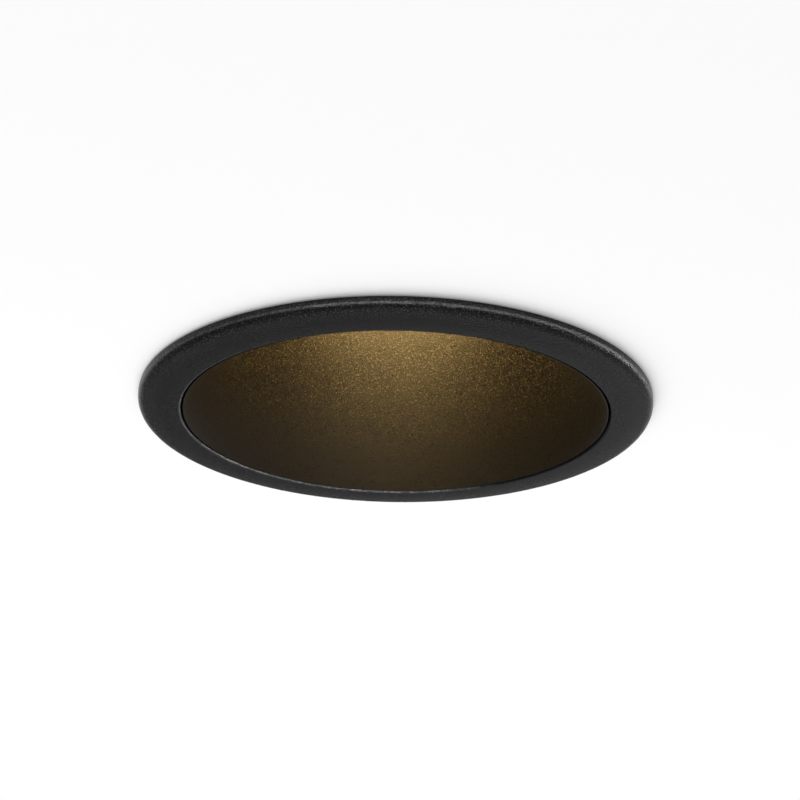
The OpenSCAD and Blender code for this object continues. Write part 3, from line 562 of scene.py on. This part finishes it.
# %% Build an arm in its own frame
SLOPE = 26.1193
WEB_TOP, WEB_UNDER, SHEET_THICK = -3.053, -4.053, 1
ARM_HALF, TIP_X, TIP_R = 6, 43, 3
WALL_Y, WALL_END, WALL_R = 5.5, 21, 2.753
PIN_BORE_R, TIP_HOLE_X, TIP_HOLE_R = 1.55, 30.5, 2
arm_place = shift(PIN_X, 0, PIN_Z) @ turn(SLOPE, "Y")

tip = arc((TIP_X, ARM_HALF - TIP_R), TIP_R, 90, 0, 8)
tip += arc((TIP_X, TIP_R - ARM_HALF), TIP_R, 0, -90, 8)
web = plate("clip_arm", [(2, -ARM_HALF), (2, ARM_HALF)] + tip, SHEET_THICK)
placed(web, shift(0, 0, (WEB_TOP + WEB_UNDER) / 2) @ turn(-90, "X"))
wall_outline = [(-1.346, WEB_UNDER), (WALL_END, WEB_UNDER), (WALL_END, WEB_TOP)]
wall_outline += arc((0, 0), WALL_R, 60, 215, 16)
for y in (-WALL_Y, WALL_Y):
    combine(web, placed(plate("wall", wall_outline, SHEET_THICK), shift(0, y)), "UNION")
combine(web, placed(rod("drill", PIN_BORE_R, -9, 9), turn(90, "X")), "DIFFERENCE")
combine(web, placed(rod("drill", TIP_HOLE_R, -9, 9), shift(TIP_HOLE_X)), "DIFFERENCE")
arm = placed(soften(web, 0.12), arm_place)
print("arm at a slope of", SLOPE, "degrees")

# %% [markdown]
# ## The pad on the arm's tip
# The rubber pad presses on the soffit's back. It is a moulded block with well rounded edges
# and a slot for the strip, so a Boolean cuts the slot after the Bevel. Three grooves across
# the sole give it grip.

# %% Build a pad in the arm's frame
PAD_TOP, PAD_UNDER, PAD_WIDTH = -2.053, -5.053, 14
sole = [(38, PAD_TOP, 0.5), (38, PAD_UNDER, 0.5), (42.6, -6.09)]
sole += arc((43.2, PAD_UNDER), 1.2, 260, 270, 1) + arc((45.8, PAD_UNDER), 1.2, 280, 360, 6)
rubber = plate("clip_pad", sole + [(47, PAD_TOP, 0.5)], PAD_WIDTH)
soften(rubber, 0.45, 3)
slot_tool = plate("slot", [(36, -4.07), (46.02, -4.07), (46.02, -3.03), (36, -3.03)], 12.06)
combine(rubber, slot_tool, "DIFFERENCE")
GROOVE_R, GROOVE_DROP = 0.32, -6.35
for along in (43.4, 44.6, 45.8):
    groove = placed(rod("groove", GROOVE_R, -9, 9, 16), shift(along, 0, GROOVE_DROP) @ turn(90, "X"))
    combine(rubber, groove, "DIFFERENCE")
shade_smooth()
placed(rubber, arm_place)
print("pad with", len(rubber.data.polygons), "faces")

# %% [markdown]
# ## The torsion spring
# A torsion spring is one round wire: a leg on the arm, four turns round the pin and a leg up
# the bracket. A curve with a round bevel follows the wire's middle line exactly and keeps its
# thickness, which a Screw modifier would not do for the legs. It becomes a mesh at the end. On
# the real lamp its turns wind up between the lamp and the clip as the arm folds; here it is
# drawn at rest and does not bend.

# %% Draw the wires as bevelled curves
def wire(name, points, radius):
    """A round wire through points in millimetres."""
    bpy.ops.object.select_all(action="DESELECT")
    bpy.ops.curve.primitive_nurbs_path_add()
    path = bpy.context.object
    path.name = path.data.name = name
    path.data.splines.clear()
    spline = path.data.splines.new("POLY")
    spline.points.add(len(points) - 1)
    for knot, point in zip(spline.points, points):
        knot.co = (*(Vector(point) * MM), 1)
    path.data.dimensions = "3D"
    path.data.bevel_depth = radius * MM
    path.data.bevel_resolution = 3
    path.data.use_fill_caps = True
    bpy.ops.object.convert(target="MESH")
    piece = bpy.context.object
    bpy.ops.object.mode_set(mode="EDIT")
    close_up(smooth=50)
    return piece


WIRE_R, COIL_R, COIL_HALF, STEP_ANGLE = 0.6, 2.403, 3.55083, 10
LEG_ON_ARM, LEG_ON_PLATE = 16, 7.5
arm_angle, plate_angle = -SLOPE - 90, 180
sweep = plate_angle - arm_angle - 360 * 5
rings = math.ceil(abs(sweep) / STEP_ANGLE)


def round_pin(angle, y):
    """A point of the wire's middle line, at an angle round the pin."""
    a = math.radians(angle)
    return Vector((PIN_X + COIL_R * math.cos(a), y, PIN_Z + COIL_R * math.sin(a)))


down_arm = Vector((math.cos(math.radians(SLOPE)), 0, -math.sin(math.radians(SLOPE))))
coil = [round_pin(arm_angle + sweep * i / rings, COIL_HALF * (2 * i / rings - 1))
        for i in range(rings + 1)]
leg_down = [coil[0] + down_arm * d for d in (LEG_ON_ARM, 12, 8, 4, 1.2)]
leg_up = [coil[-1] + Vector((0, 0, d)) for d in (1.2, 4, LEG_ON_PLATE)]
spring = wire("torsion_spring", leg_down + coil + leg_up, WIRE_R)
print("wire through", len(coil), "points of coil")

# %% [markdown]
# ## Both clips
# The five parts of the right clip are copied for the left one by half a turn about the
# lamp's axis. The bracket and the pin stay with the lamp, and the arm and the pad move with
# the clip. The spring is copied too, but it is given no body and stays where it is drawn.

# %% Copy the clip and give the bracket, pin, arm and pad their bodies
for side_name, half in SIDES.items():
    clip = "clip_" + side_name
    around = turn(half)
    for pattern, word, body, slot in (
            (bracket, "bracket_", "lamp", "stainless"), (pin, "pin_", "lamp", "stainless"),
            (arm, "arm_", clip, "stainless"), (rubber, "pad_", clip, "rubber_black")):
        settle(copied(pattern, around, word + side_name), body, slot, "clip_" + word + side_name)
    coil_copy = copied(spring, around, "spring_" + side_name)
    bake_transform(coil_copy)
    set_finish(coil_copy, "spring_steel")
    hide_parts("torsion_spring_" + side_name)
for pattern in (bracket, pin, arm, rubber, spring):
    bpy.data.objects.remove(pattern)
print("both clips, each with its own spring")

# %% [markdown]
# ## The leads
# Two thin leads run from the emitter's board up through the heat sink to the terminal block.
# They are short, fixed wires inside the lamp, so the wire helper draws them too. One is the
# mirror image of the other.

# %% Draw the leads
LEAD_R = 0.9
lead_line = [
    (1.2, LEADS_Y, 60.5), (1.2, LEADS_Y, 63.5), (1.2, LEADS_Y, 66.5), (1.25, -10.9, 67.8),
    (1.5, -10.5, 69.1), (1.9, -9.8, 69.9), (2.4, -9, 70.6), (3, -7.6, 71), (3.5, -6.4, 71.1),
    (4, -3.6, 71.1), (4, 0, 71.1)]
for sign, name, slot in ((1, "lead_positive", "red_lead"), (-1, "lead_negative", "black_lead")):
    lead = wire(name + "_wire", [(sign * x, y, z) for x, y, z in lead_line], LEAD_R)
    settle(lead, "lamp", slot, name)

# %% [markdown]
# ## Surface effects as node groups
# Real finishes differ from a flat colour in three ways: a fine grain, a slow change of tone
# over a few centimetres, and fine lines where a tool or a brush has passed. Each effect is
# one shader node group, built once. A material sets its scale and mixes its mask. The grain
# gives its height, its specks, and the few brightest of them as glints.

# %% Build the groups
def node(tree, kind, inputs=None, **settings):
    """A node whose inputs are linked to sockets or set to values."""
    made = tree.nodes.new(kind)
    for key, value in settings.items():
        setattr(made, key, value)
    for key, value in (inputs or {}).items():
        if isinstance(value, bpy.types.NodeSocket):
            tree.links.new(value, made.inputs[key])
        else:
            made.inputs[key].default_value = value
    return made


def maths(tree, operation, *values, **settings):
    """The result of one Math node."""
    made = node(tree, "ShaderNodeMath", dict(enumerate(values)), operation=operation, **settings)
    return made.outputs["Value"]


def ramp(tree, value, start, end, at_start=0.0, at_end=1.0):
    """One result up to the start, another from the end on, and even steps between them."""
    made = node(tree, "ShaderNodeMapRange", {
        "Value": value, "From Min": start, "From Max": end, "To Min": at_start, "To Max": at_end})
    return made.outputs["Result"]


def object_place(tree):
    return node(tree, "ShaderNodeTexCoord").outputs["Object"]


def group(name, inputs, outputs):
    """An empty node group, with its inputs to read from and its outputs to link to."""
    tree = bpy.data.node_groups.new(name, "ShaderNodeTree")
    for key, value in inputs.items():
        kind = "NodeSocketVector" if isinstance(value, tuple) else "NodeSocketFloat"
        tree.interface.new_socket(key, in_out="INPUT", socket_type=kind).default_value = value
    for key in outputs:
        tree.interface.new_socket(key, in_out="OUTPUT", socket_type="NodeSocketFloat")
    return tree, tree.nodes.new("NodeGroupInput").outputs, tree.nodes.new("NodeGroupOutput").inputs


RARE = 3.0

grain_group, put, out = group("grain", {"Scale": 2500.0}, ["Height", "Speck", "Glint"])
fine = node(grain_group, "ShaderNodeTexNoise", {
    "Vector": object_place(grain_group), "Scale": put["Scale"], "Detail": 2.0}).outputs["Fac"]
speck = ramp(grain_group, fine, 0.42, 0.68)
grain_group.links.new(fine, out["Height"])
grain_group.links.new(speck, out["Speck"])
grain_group.links.new(maths(grain_group, "POWER", speck, RARE), out["Glint"])

tone_group, put, out = group("tone", {"Scale": 40.0}, ["Mask"])
slow = node(tone_group, "ShaderNodeTexNoise", {
    "Vector": object_place(tone_group), "Scale": put["Scale"], "Detail": 4.0,
    "Roughness": 0.6}).outputs["Fac"]
tone_group.links.new(ramp(tone_group, slow, 0.3, 0.7), out["Mask"])

line_group, put, out = group("lines", {"Stretch": (1.0, 1.0, 1.0)}, ["Mask"])
stretched = node(line_group, "ShaderNodeVectorMath", {
    0: object_place(line_group), 1: put["Stretch"]}, operation="MULTIPLY").outputs["Vector"]
strand = node(line_group, "ShaderNodeTexNoise", {
    "Vector": stretched, "Scale": 1.0, "Detail": 3.0}).outputs["Fac"]
line_group.links.new(ramp(line_group, strand, 0.35, 0.65), out["Mask"])
print("groups", [g.name for g in bpy.data.node_groups])

# %% [markdown]
# ## The finishes
# One recipe makes the opaque finishes. The slow tone mixes two near colours and shifts the
# roughness, the grain adds specks of the lighter colour, and its height feeds a Bump node.
# Metals also get fine lines, and then the lines shift the roughness. Where single grains
# should sparkle, the specks do it. Values that are the same all over sit on the shader's
# sockets.

# %% A recipe for opaque finishes
finishes = {}


def shader_of(tree):
    return tree.nodes["Principled BSDF"]


def blank(name):
    """A new material under its finish's name, and its node tree and shader."""
    material = finishes[name] = bpy.data.materials.new(name)
    material.use_nodes = True
    return material, material.node_tree, shader_of(material.node_tree)


def use(tree, group_tree, **inputs):
    """The outputs of a node group in a material."""
    made = node(tree, "ShaderNodeGroup", node_tree=group_tree)
    for key, value in inputs.items():
        made.inputs[key].default_value = value
    return made.outputs


def blend_colour(tree, mask, first, second):
    """The first colour where the mask is 0 and the second where it is 1."""
    made = node(tree, "ShaderNodeMix", data_type="RGBA")
    tree.links.new(mask, made.inputs["Factor"])
    for socket, value in (("A", first), ("B", second)):
        target = next(s for s in made.inputs if s.name == socket and s.type == "RGBA")
        if isinstance(value, bpy.types.NodeSocket):
            tree.links.new(value, target)
        else:
            target.default_value = (*value, 1)
    return next(s for s in made.outputs if s.type == "RGBA")


def finish(name, dark, light, rough, grain=2500, relief=0.02, tone=40, speck=None, metallic=0.0,
           specular=0.5, stretch=None, sparkle=False):
    """Two near colours, a roughness range, and a grain with its relief in millimetres."""
    material, tree, shader = blank(name)
    slow = use(tree, tone_group, Scale=tone)["Mask"]
    fine = use(tree, grain_group, Scale=grain)
    colour = blend_colour(tree, slow, dark, light)
    if stretch:
        lines = use(tree, line_group, Stretch=stretch)["Mask"]
        colour = blend_colour(tree, lines, colour, light)
    if speck:
        colour = blend_colour(tree, fine["Speck"], colour, speck)
    tree.links.new(colour, shader.inputs["Base Color"])
    source = fine["Speck"] if sparkle else lines if stretch else slow
    tree.links.new(ramp(tree, source, 0.0, 1.0, *rough), shader.inputs["Roughness"])
    bump = node(tree, "ShaderNodeBump", {
        "Height": fine["Height"], "Strength": 1.0, "Distance": relief * MM})
    tree.links.new(bump.outputs["Normal"], shader.inputs["Normal"])
    shader.inputs["Metallic"].default_value = metallic
    shader.inputs["Specular IOR Level"].default_value = specular
    return material


# %% [markdown]
# The powder coat is a matt, fine-grained black. Towards the ring's rounded outer edge, rare
# light grey specks are painted into its colour as painted glints. Along both edges the coat is
# worn thin, and metal shows through in patches: all round the outer edge, and along the inner
# one except at its right end. These worn bands are also lighter, and they make a painted
# highlight line on each edge. The outer one is a narrow band where the edge's highlight falls.
# Masks on the distance from the axis, on the height and on X pick these places. They stay
# sharp from any distance, where a painted texture would blur.

# %% The powder coat and its worn edges
def band(tree, value, low, full, amount=1.0):
    """0 at the low value in millimetres, and the amount from the full value on."""
    return ramp(tree, value, low * MM, full * MM, 0.0, amount)


def times(tree, first, *others):
    """Several masks multiplied."""
    for other in others:
        first = maths(tree, "MULTIPLY", first, other)
    return first


def tint(tree, mask, colour):
    """Mixes a colour over the shader's colour where the mask is 1."""
    target = shader_of(tree).inputs["Base Color"]
    tree.links.new(blend_colour(tree, mask, target.links[0].from_socket, colour), target)


def bare(tree, mask, colour):
    """Lets metal of a colour show through where the mask is 1."""
    tint(tree, mask, colour)
    tree.links.new(mask, shader_of(tree).inputs["Metallic"])


# Grey of the painted glints, and grey of worn metal that also makes painted highlight lines.
PAINTED_GLINT_GREY, WEAR_AND_HIGHLIGHT_GREY = (0.07, 0.07, 0.07), (0.45, 0.45, 0.45)
PAINTED_GLINTS_R = (45.5, 49)
INNER_R, INNER_Z, INNER_HIGHLIGHT_X, INNER_WEAR_AND_HIGHLIGHT = (42.3, 42), (-2.1, -2.2), (24, 12), 0.65
OUTER_R, OUTER_BELOW, OUTER_ABOVE, OUTER_WEAR_AND_HIGHLIGHT = (49, 49.3), (-1.1, -1.25), (-1.65, -1.45), 0.16
PATCHES = (0.3, 0.8)
powder = finish("powder_coat", (0.0076, 0.0076, 0.0079), (0.0094, 0.0094, 0.0098), (0.24, 0.3),
                grain=2800, relief=0.12, tone=60, specular=0.1)
tree = powder.node_tree
place = object_place(tree)
xyz = node(tree, "ShaderNodeSeparateXYZ", {0: place}).outputs
across = node(tree, "ShaderNodeVectorMath", {0: place, 1: (1, 1, 0)}, operation="MULTIPLY")
radius = node(tree, "ShaderNodeVectorMath", {0: across.outputs["Vector"]}, operation="LENGTH")
radius = radius.outputs["Value"]

# Painted glints: rare light grey specks mixed into the coat's colour towards the outer edge.
painted_glints = use(tree, grain_group, Scale=3600.0)["Glint"]
tint(tree, times(tree, painted_glints, band(tree, radius, *PAINTED_GLINTS_R)), PAINTED_GLINT_GREY)
# Worn edge bands that are also painted highlight lines; the inner one stops before its right end.
inner_wear_and_highlight = times(tree, band(tree, radius, *INNER_R), band(tree, xyz["Z"], *INNER_Z, INNER_WEAR_AND_HIGHLIGHT),
              band(tree, xyz["X"], *INNER_HIGHLIGHT_X))
outer_wear_and_highlight = times(tree, band(tree, xyz["Z"], *OUTER_BELOW), band(tree, xyz["Z"], *OUTER_ABOVE),
              band(tree, radius, *OUTER_R, OUTER_WEAR_AND_HIGHLIGHT))
patches = ramp(tree, use(tree, grain_group, Scale=1500.0)["Speck"], 0.0, 1.0, *PATCHES)
# Metal and a lighter grey show through the bands: real wear and a painted highlight in one.
bare(tree, times(tree, maths(tree, "ADD", inner_wear_and_highlight, outer_wear_and_highlight), patches), WEAR_AND_HIGHLIGHT_GREY)
print("powder coat is worn thin along both edges")

# %% [markdown]
# The reflector is lacquered in a dark bronze-black with fine metal flakes. Seen away from the
# light it is almost black. Near the lamp the flakes glitter gold, so they are metal that shows
# through by a mask of small specks, and the lacquer between them stays dark. The roughness
# changes from grain to grain, which makes the glow sparkle. Spun sheet also draws out what it
# mirrors, so the shader is anisotropic, with a tangent that runs round Z.

# %% The reflector's flaked lacquer
FLAKES, FEW, FLAKE_BRONZE = 0.14, 0.08, (0.42, 0.35, 0.24)
DRAWN_OUT, QUARTER_TURN = 0.7, 0.25
lacquer = finish("reflector_black", (0.0008, 0.0009, 0.0007), (0.0014, 0.0015, 0.0012),
                 (0.45, 0.27), grain=3000, relief=0.1, tone=30, specular=0.25, sparkle=True)
tree = lacquer.node_tree
height = node(tree, "ShaderNodeSeparateXYZ", {0: object_place(tree)}).outputs["Z"]
glitter = node(tree, "ShaderNodeMix", {
    0: band(tree, height, 2, 24), 2: FEW, 3: use(tree, grain_group, Scale=3400.0)["Glint"]})
bare(tree, times(tree, glitter.outputs[0], FLAKES), FLAKE_BRONZE)
shader = shader_of(tree)
shader.inputs["Anisotropic"].default_value = DRAWN_OUT
shader.inputs["Anisotropic Rotation"].default_value = QUARTER_TURN
round_axis = node(tree, "ShaderNodeTangent", direction_type="RADIAL", axis="Z")
tree.links.new(round_axis.outputs["Tangent"], shader.inputs["Tangent"])
print("flakes in the lacquer")

# %% [markdown]
# The other opaque finishes follow the same recipe with their own numbers: cast and anodised
# black for the metal that sheds heat, foam and rubber with a coarser relief, brushed
# stainless steel with lines along its length, and the plastics.

# %% The other opaque finishes
finish("foam", (0.018, 0.018, 0.019), (0.03, 0.03, 0.032), (0.85, 0.95), grain=1500,
       relief=0.25, specular=0.2)
finish("cast_black", (0.022, 0.022, 0.024), (0.034, 0.034, 0.037), (0.45, 0.62), grain=1400,
       relief=0.07, tone=50, speck=(0.045, 0.045, 0.05))
finish("sink_black", (0.018, 0.019, 0.021), (0.028, 0.029, 0.032), (0.38, 0.52), grain=3200,
       relief=0.02, tone=45, stretch=(300.0, 300.0, 2500.0))
finish("bright_aluminium", (0.55, 0.55, 0.56), (0.68, 0.68, 0.69), (0.25, 0.4), relief=0.01,
       metallic=1.0, stretch=(2500.0, 2500.0, 300.0))
finish("silicone", (0.4, 0.41, 0.42), (0.5, 0.51, 0.52), (0.5, 0.65), grain=1800, relief=0.02)
finish("black_plastic", (0.014, 0.014, 0.015), (0.02, 0.02, 0.022), (0.38, 0.5), grain=2200,
       relief=0.03, speck=(0.028, 0.028, 0.03))
finish("white_plastic", (0.62, 0.61, 0.58), (0.7, 0.69, 0.66), (0.4, 0.5), grain=2200,
       relief=0.02)
finish("ceramic", (0.66, 0.66, 0.63), (0.74, 0.74, 0.71), (0.3, 0.42), grain=3000, relief=0.01)
finish("pad_grey", (0.28, 0.29, 0.31), (0.36, 0.37, 0.39), (0.7, 0.8), grain=1500, relief=0.05)
finish("stainless", (0.42, 0.42, 0.42), (0.52, 0.52, 0.52), (0.28, 0.42), grain=3000,
       relief=0.008, metallic=1.0, tone=70, stretch=(250.0, 3000.0, 250.0))
finish("spring_steel", (0.36, 0.37, 0.39), (0.46, 0.47, 0.49), (0.2, 0.34), grain=3000,
       relief=0.01, metallic=1.0, tone=120, stretch=(400.0, 2200.0, 400.0))
finish("plated_brass", (0.66, 0.48, 0.2), (0.76, 0.56, 0.26), (0.22, 0.36), relief=0.01,
       metallic=1.0, stretch=(2500.0, 2500.0, 300.0))
finish("red_lead", (0.36, 0.025, 0.018), (0.46, 0.035, 0.025), (0.35, 0.45), relief=0.01)
finish("black_lead", (0.012, 0.012, 0.012), (0.018, 0.018, 0.018), (0.35, 0.45), relief=0.01)
finish("rubber_black", (0.014, 0.014, 0.014), (0.022, 0.022, 0.022), (0.6, 0.75), grain=1600,
       relief=0.05, speck=(0.03, 0.03, 0.03), specular=0.35)
print(len(finishes), "finishes so far")

# %% [markdown]
# Glass and the lens are clear: full transmission, with a roughness that wanders a little as
# handled glass does. The emitter is a yellow disc of phosphor, and it is on, so it also gives
# off warm light where the camera or a reflection sees it.

# %% Clear finishes and the emitter
WHITE = (1, 1, 1)


def clear_finish(name, tint_colour, rough, ior):
    """A see-through finish with a roughness range and a refractive index."""
    _, tree, shader = blank(name)
    slow = use(tree, tone_group, Scale=60.0)["Mask"]
    tree.links.new(ramp(tree, slow, 0.0, 1.0, *rough), shader.inputs["Roughness"])
    tree.links.new(blend_colour(tree, slow, tint_colour, WHITE), shader.inputs["Base Color"])
    shader.inputs["Transmission Weight"].default_value = 1.0
    shader.inputs["IOR"].default_value = ior


clear_finish("clear_glass", (0.94, 0.985, 0.97), (0.0, 0.03), ior=1.5)
clear_finish("clear_plastic", (0.97, 0.98, 0.98), (0.04, 0.1), ior=1.49)

WARM, EMITTER_GLOW = (1.0, 0.72, 0.38, 1), 3.0
phosphor = finish("phosphor", (0.85, 0.55, 0.08), (0.95, 0.66, 0.12), (0.5, 0.6), grain=3000,
                  relief=0.03)
shader = shader_of(phosphor.node_tree)
shader.inputs["Emission Color"].default_value = WARM
shader.inputs["Emission Strength"].default_value = EMITTER_GLOW
print(len(finishes), "finishes in all")

# %% [markdown]
# ## Putting the finishes on
# The record says which finish each CAD node has. The new pieces carry the same slot names,
# so one loop dresses them all.

# %% Dress every piece
for part in frame["record"]["subparts"]:
    for material_slot in frame["nodes"][part["node"]].material_slots:
        material_slot.material = finishes[part["material_slot"]]
for piece in [p for p in bpy.context.scene.objects if "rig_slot" in p]:
    piece.data.materials.clear()
    piece.data.materials.append(finishes[piece["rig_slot"]])

# %% [markdown]
# ## The soffit and the floor
# From below, the lamp hangs in a white soffit. From above, it stands on a pale floor, so that
# every side can be looked at. Each is a wide flat ring that shows from one side only. Its
# back is clear, except in mirrors, where metal above the soffit has to see something pale.
# A little glow of its own, for rays that show a background, keeps the sheet nearly white
# while it still takes the lamp's soft shadow. With distance a haze turns it fully white, so
# that no horizon shows. The floor lies right under the ring's face and isn't seen in mirrors
# at all, or it would hide the room from the ring.

# %% The sheets' finish
def shown(tree):
    """1 for rays that show a background: straight from the camera, mirrored or through glass."""
    rays = node(tree, "ShaderNodeLightPath").outputs
    direct = maths(tree, "MAXIMUM", rays["Is Camera Ray"], rays["Is Glossy Ray"])
    return maths(tree, "MAXIMUM", direct, rays["Is Transmission Ray"])


def clear_side(tree):
    """1 for rays that pass through a sheet: all that meet its back, apart from mirrored ones.
    For shadow rays the sides swap, so light from the room stays below the soffit, while
    light from above it gets through."""
    rays = node(tree, "ShaderNodeLightPath").outputs
    behind = node(tree, "ShaderNodeNewGeometry").outputs["Backfacing"]
    unlike = maths(tree, "ABSOLUTE", maths(tree, "SUBTRACT", behind, rays["Is Shadow Ray"]))
    return maths(tree, "SUBTRACT", unlike, rays["Is Glossy Ray"], use_clamp=True)


def sheet_finish(name, colour, glow, clear, hazy):
    """Matt paint that glows a little and turns white between two distances in millimetres."""
    material, tree, shader = blank(name)
    shader.inputs["Base Color"].default_value = (*colour, 1)
    shader.inputs["Roughness"].default_value = 0.9
    shader.inputs["Specular IOR Level"].default_value = 0.0
    shader.inputs["Emission Color"].default_value = (*WHITE, 1)
    lit = maths(tree, "MULTIPLY", shown(tree), glow)
    tree.links.new(lit, shader.inputs["Emission Strength"])
    far = node(tree, "ShaderNodeVectorMath", {0: object_place(tree)}, operation="LENGTH")
    haze = node(tree, "ShaderNodeEmission", {"Strength": 1.0})
    surface = node(tree, "ShaderNodeMixShader", {
        "Fac": band(tree, far.outputs["Value"], clear, hazy),
        1: shader.outputs["BSDF"], 2: haze.outputs["Emission"]})
    through = node(tree, "ShaderNodeBsdfTransparent")
    both = node(tree, "ShaderNodeMixShader", {
        "Fac": clear_side(tree), 1: surface.outputs["Shader"], 2: through.outputs["BSDF"]})
    tree.links.new(both.outputs["Shader"], tree.nodes["Material Output"].inputs["Surface"])
    return material


# %% [markdown]
# A sheet starts as a circle round the lamp. The circle is extruded in place and the new edge
# is scaled far out of sight, which leaves one flat ring. Its faces are flipped where they
# would show from the wrong side. Sheets are stage props and no part of the lamp.

# %% Build the two sheets
SPREAD = 400


def sheet(name, hole, height, up, **look):
    """A wide flat ring round a hole, seen from above or from below only."""
    bpy.ops.object.select_all(action="DESELECT")
    bpy.ops.mesh.primitive_circle_add(vertices=128, radius=hole * MM, location=(0, 0, height * MM))
    ring = bpy.context.object
    ring.name = name
    bpy.ops.object.transform_apply(location=True, rotation=True, scale=True)
    bpy.ops.object.mode_set(mode="EDIT")
    bpy.ops.mesh.select_all(action="SELECT")
    bpy.ops.mesh.extrude_region_move()
    bpy.ops.transform.resize(value=(SPREAD, SPREAD, 1))
    bpy.ops.object.mode_set(mode="OBJECT")
    if (ring.data.polygons[0].normal.z > 0) != up:
        ring.data.flip_normals()
    ring.visible_diffuse = False
    ring.visible_shadow = not up
    ring.data.materials.append(sheet_finish(name, **look))
    return ring


sheet("soffit", 46, 0, up=False, colour=(0.82, 0.82, 0.82), glow=0.18, clear=90, hazy=350)
floor = sheet("floor", 42, -2.52, up=True, colour=(0.8, 0.8, 0.79), glow=0.14, clear=200,
              hazy=900)
floor.visible_glossy = False
print("soffit and floor")

# %% [markdown]
# ## The world
# The world lights everything evenly. Rays that show a background see another picture of it:
# white from just under the horizon upwards, a room that is darker on the left, and a pale
# ground straight below. The ring's face mirrors that room, which gives it the change from
# left to right.

# %% Set the world
EVEN_LIGHT = 0.3
HORIZON_LOW, HORIZON = -0.12, -0.01
ROOM_LEFT, ROOM_RIGHT, ROOM_DARK, ROOM_LIGHT = -0.25, 0.35, 0.02, 0.42
GROUND_EDGE, GROUND, GROUND_LIGHT = -0.45, -0.75, 0.65
world = bpy.data.worlds.new("studio")
bpy.context.scene.world = world
bpy.context.scene.view_settings.view_transform = "Standard"
world.use_nodes = True
tree = world.node_tree
even = tree.nodes["Background"]
even.inputs["Color"].default_value = (*WHITE, 1)
even.inputs["Strength"].default_value = EVEN_LIGHT
direction = node(tree, "ShaderNodeTexCoord").outputs["Generated"]
toward = node(tree, "ShaderNodeSeparateXYZ", {0: direction}).outputs
sky = ramp(tree, toward["Z"], HORIZON_LOW, HORIZON)
room = ramp(tree, toward["X"], ROOM_LEFT, ROOM_RIGHT, ROOM_DARK, ROOM_LIGHT)
ground = ramp(tree, toward["Z"], GROUND_EDGE, GROUND, 0.0, GROUND_LIGHT)
pale = maths(tree, "MAXIMUM", maths(tree, "MAXIMUM", sky, room), ground)
backdrop = node(tree, "ShaderNodeBackground", {"Color": (*WHITE, 1), "Strength": pale})
both = node(tree, "ShaderNodeMixShader", {
    "Fac": shown(tree), 1: even.outputs["Background"], 2: backdrop.outputs["Background"]})
tree.links.new(both.outputs["Shader"], tree.nodes["World Output"].inputs["Surface"])
print("world", world.name)

# %% [markdown]
# ## Lamps
# One soft lamp lights the view from the room. A very large one, low at the far side, draws
# the ring's soft shadow on the soffit, and two above light the parts over it. The light line
# on the ring's edge is the mirror image of five low strips. Through light linking they light
# the ring alone, and only where it mirrors them. The downlight itself is on too, so a small
# warm lamp sits in the neck of the reflector.

# %% Set the lamps
def lamp(name, place, target, size, level=None, power=None, colour=WHITE):
    """A soft lamp, round or, with two sizes, rectangular. It has a power in watts, or a level:
    the light that it gives a white card which faces it at its target."""
    bpy.ops.object.select_all(action="DESELECT")
    spot, goal = Vector(place) * MM, Vector(target) * MM
    bpy.ops.object.light_add(type="AREA", location=spot)
    made = bpy.context.object
    made.name = made.data.name = name
    made.rotation_euler = (goal - spot).to_track_quat("-Z", "Y").to_euler()
    sizes = size if isinstance(size, tuple) else (size, size)
    made.data.shape = "RECTANGLE" if size is sizes else "DISK"
    made.data.size, made.data.size_y = (v * MM for v in sizes)
    made.data.energy = power or level * (math.pi * (goal - spot).length) ** 2
    made.data.color = colour
    made.visible_camera = False
    return made


MOUTH, MIDDLE = (0, 0, 0), (0, 0, 40)
lamp("room_light", (0, -60, -900), MOUTH, 500, 0.15)
low_light = lamp("low_light", (-450, 1350, -1140), MOUTH, 2250, 1.25)
low_light.visible_glossy = False
lamp("key_light", (-420, -380, 620), MIDDLE, 800, 0.5)
lamp("fill_light", (480, 300, 420), MIDDLE, 700, 0.3)

STRIPS_FAR, STRIPS_DROP, STRIP_SIZE = 1200, -0.055, (840, 110)
STRIP_LEVELS = {-60: 0.15, -20: 0.9, 20: 0.9, 60: 0.8, 100: 0.7}
ring_only = bpy.data.collections.new("ring_only")
ring_only.objects.link(trim)
for degrees, level in STRIP_LEVELS.items():
    a = math.radians(degrees)
    spot = Vector((math.sin(a), -math.cos(a), STRIPS_DROP)) * STRIPS_FAR
    edge_light = lamp("edge_light", spot, MOUTH, STRIP_SIZE, level)
    edge_light.visible_diffuse = False
    edge_light.light_linking.receiver_collection = ring_only

GLOW_POWER, GOLDEN = 0.225, (1.0, 0.67, 0.25)
lamp("glow", (-1, 0, 39), (-1, 0, 0), 30, power=GLOW_POWER, colour=GOLDEN)
print("lamps", [light.name for light in bpy.data.lights])

# %% Import json
import json
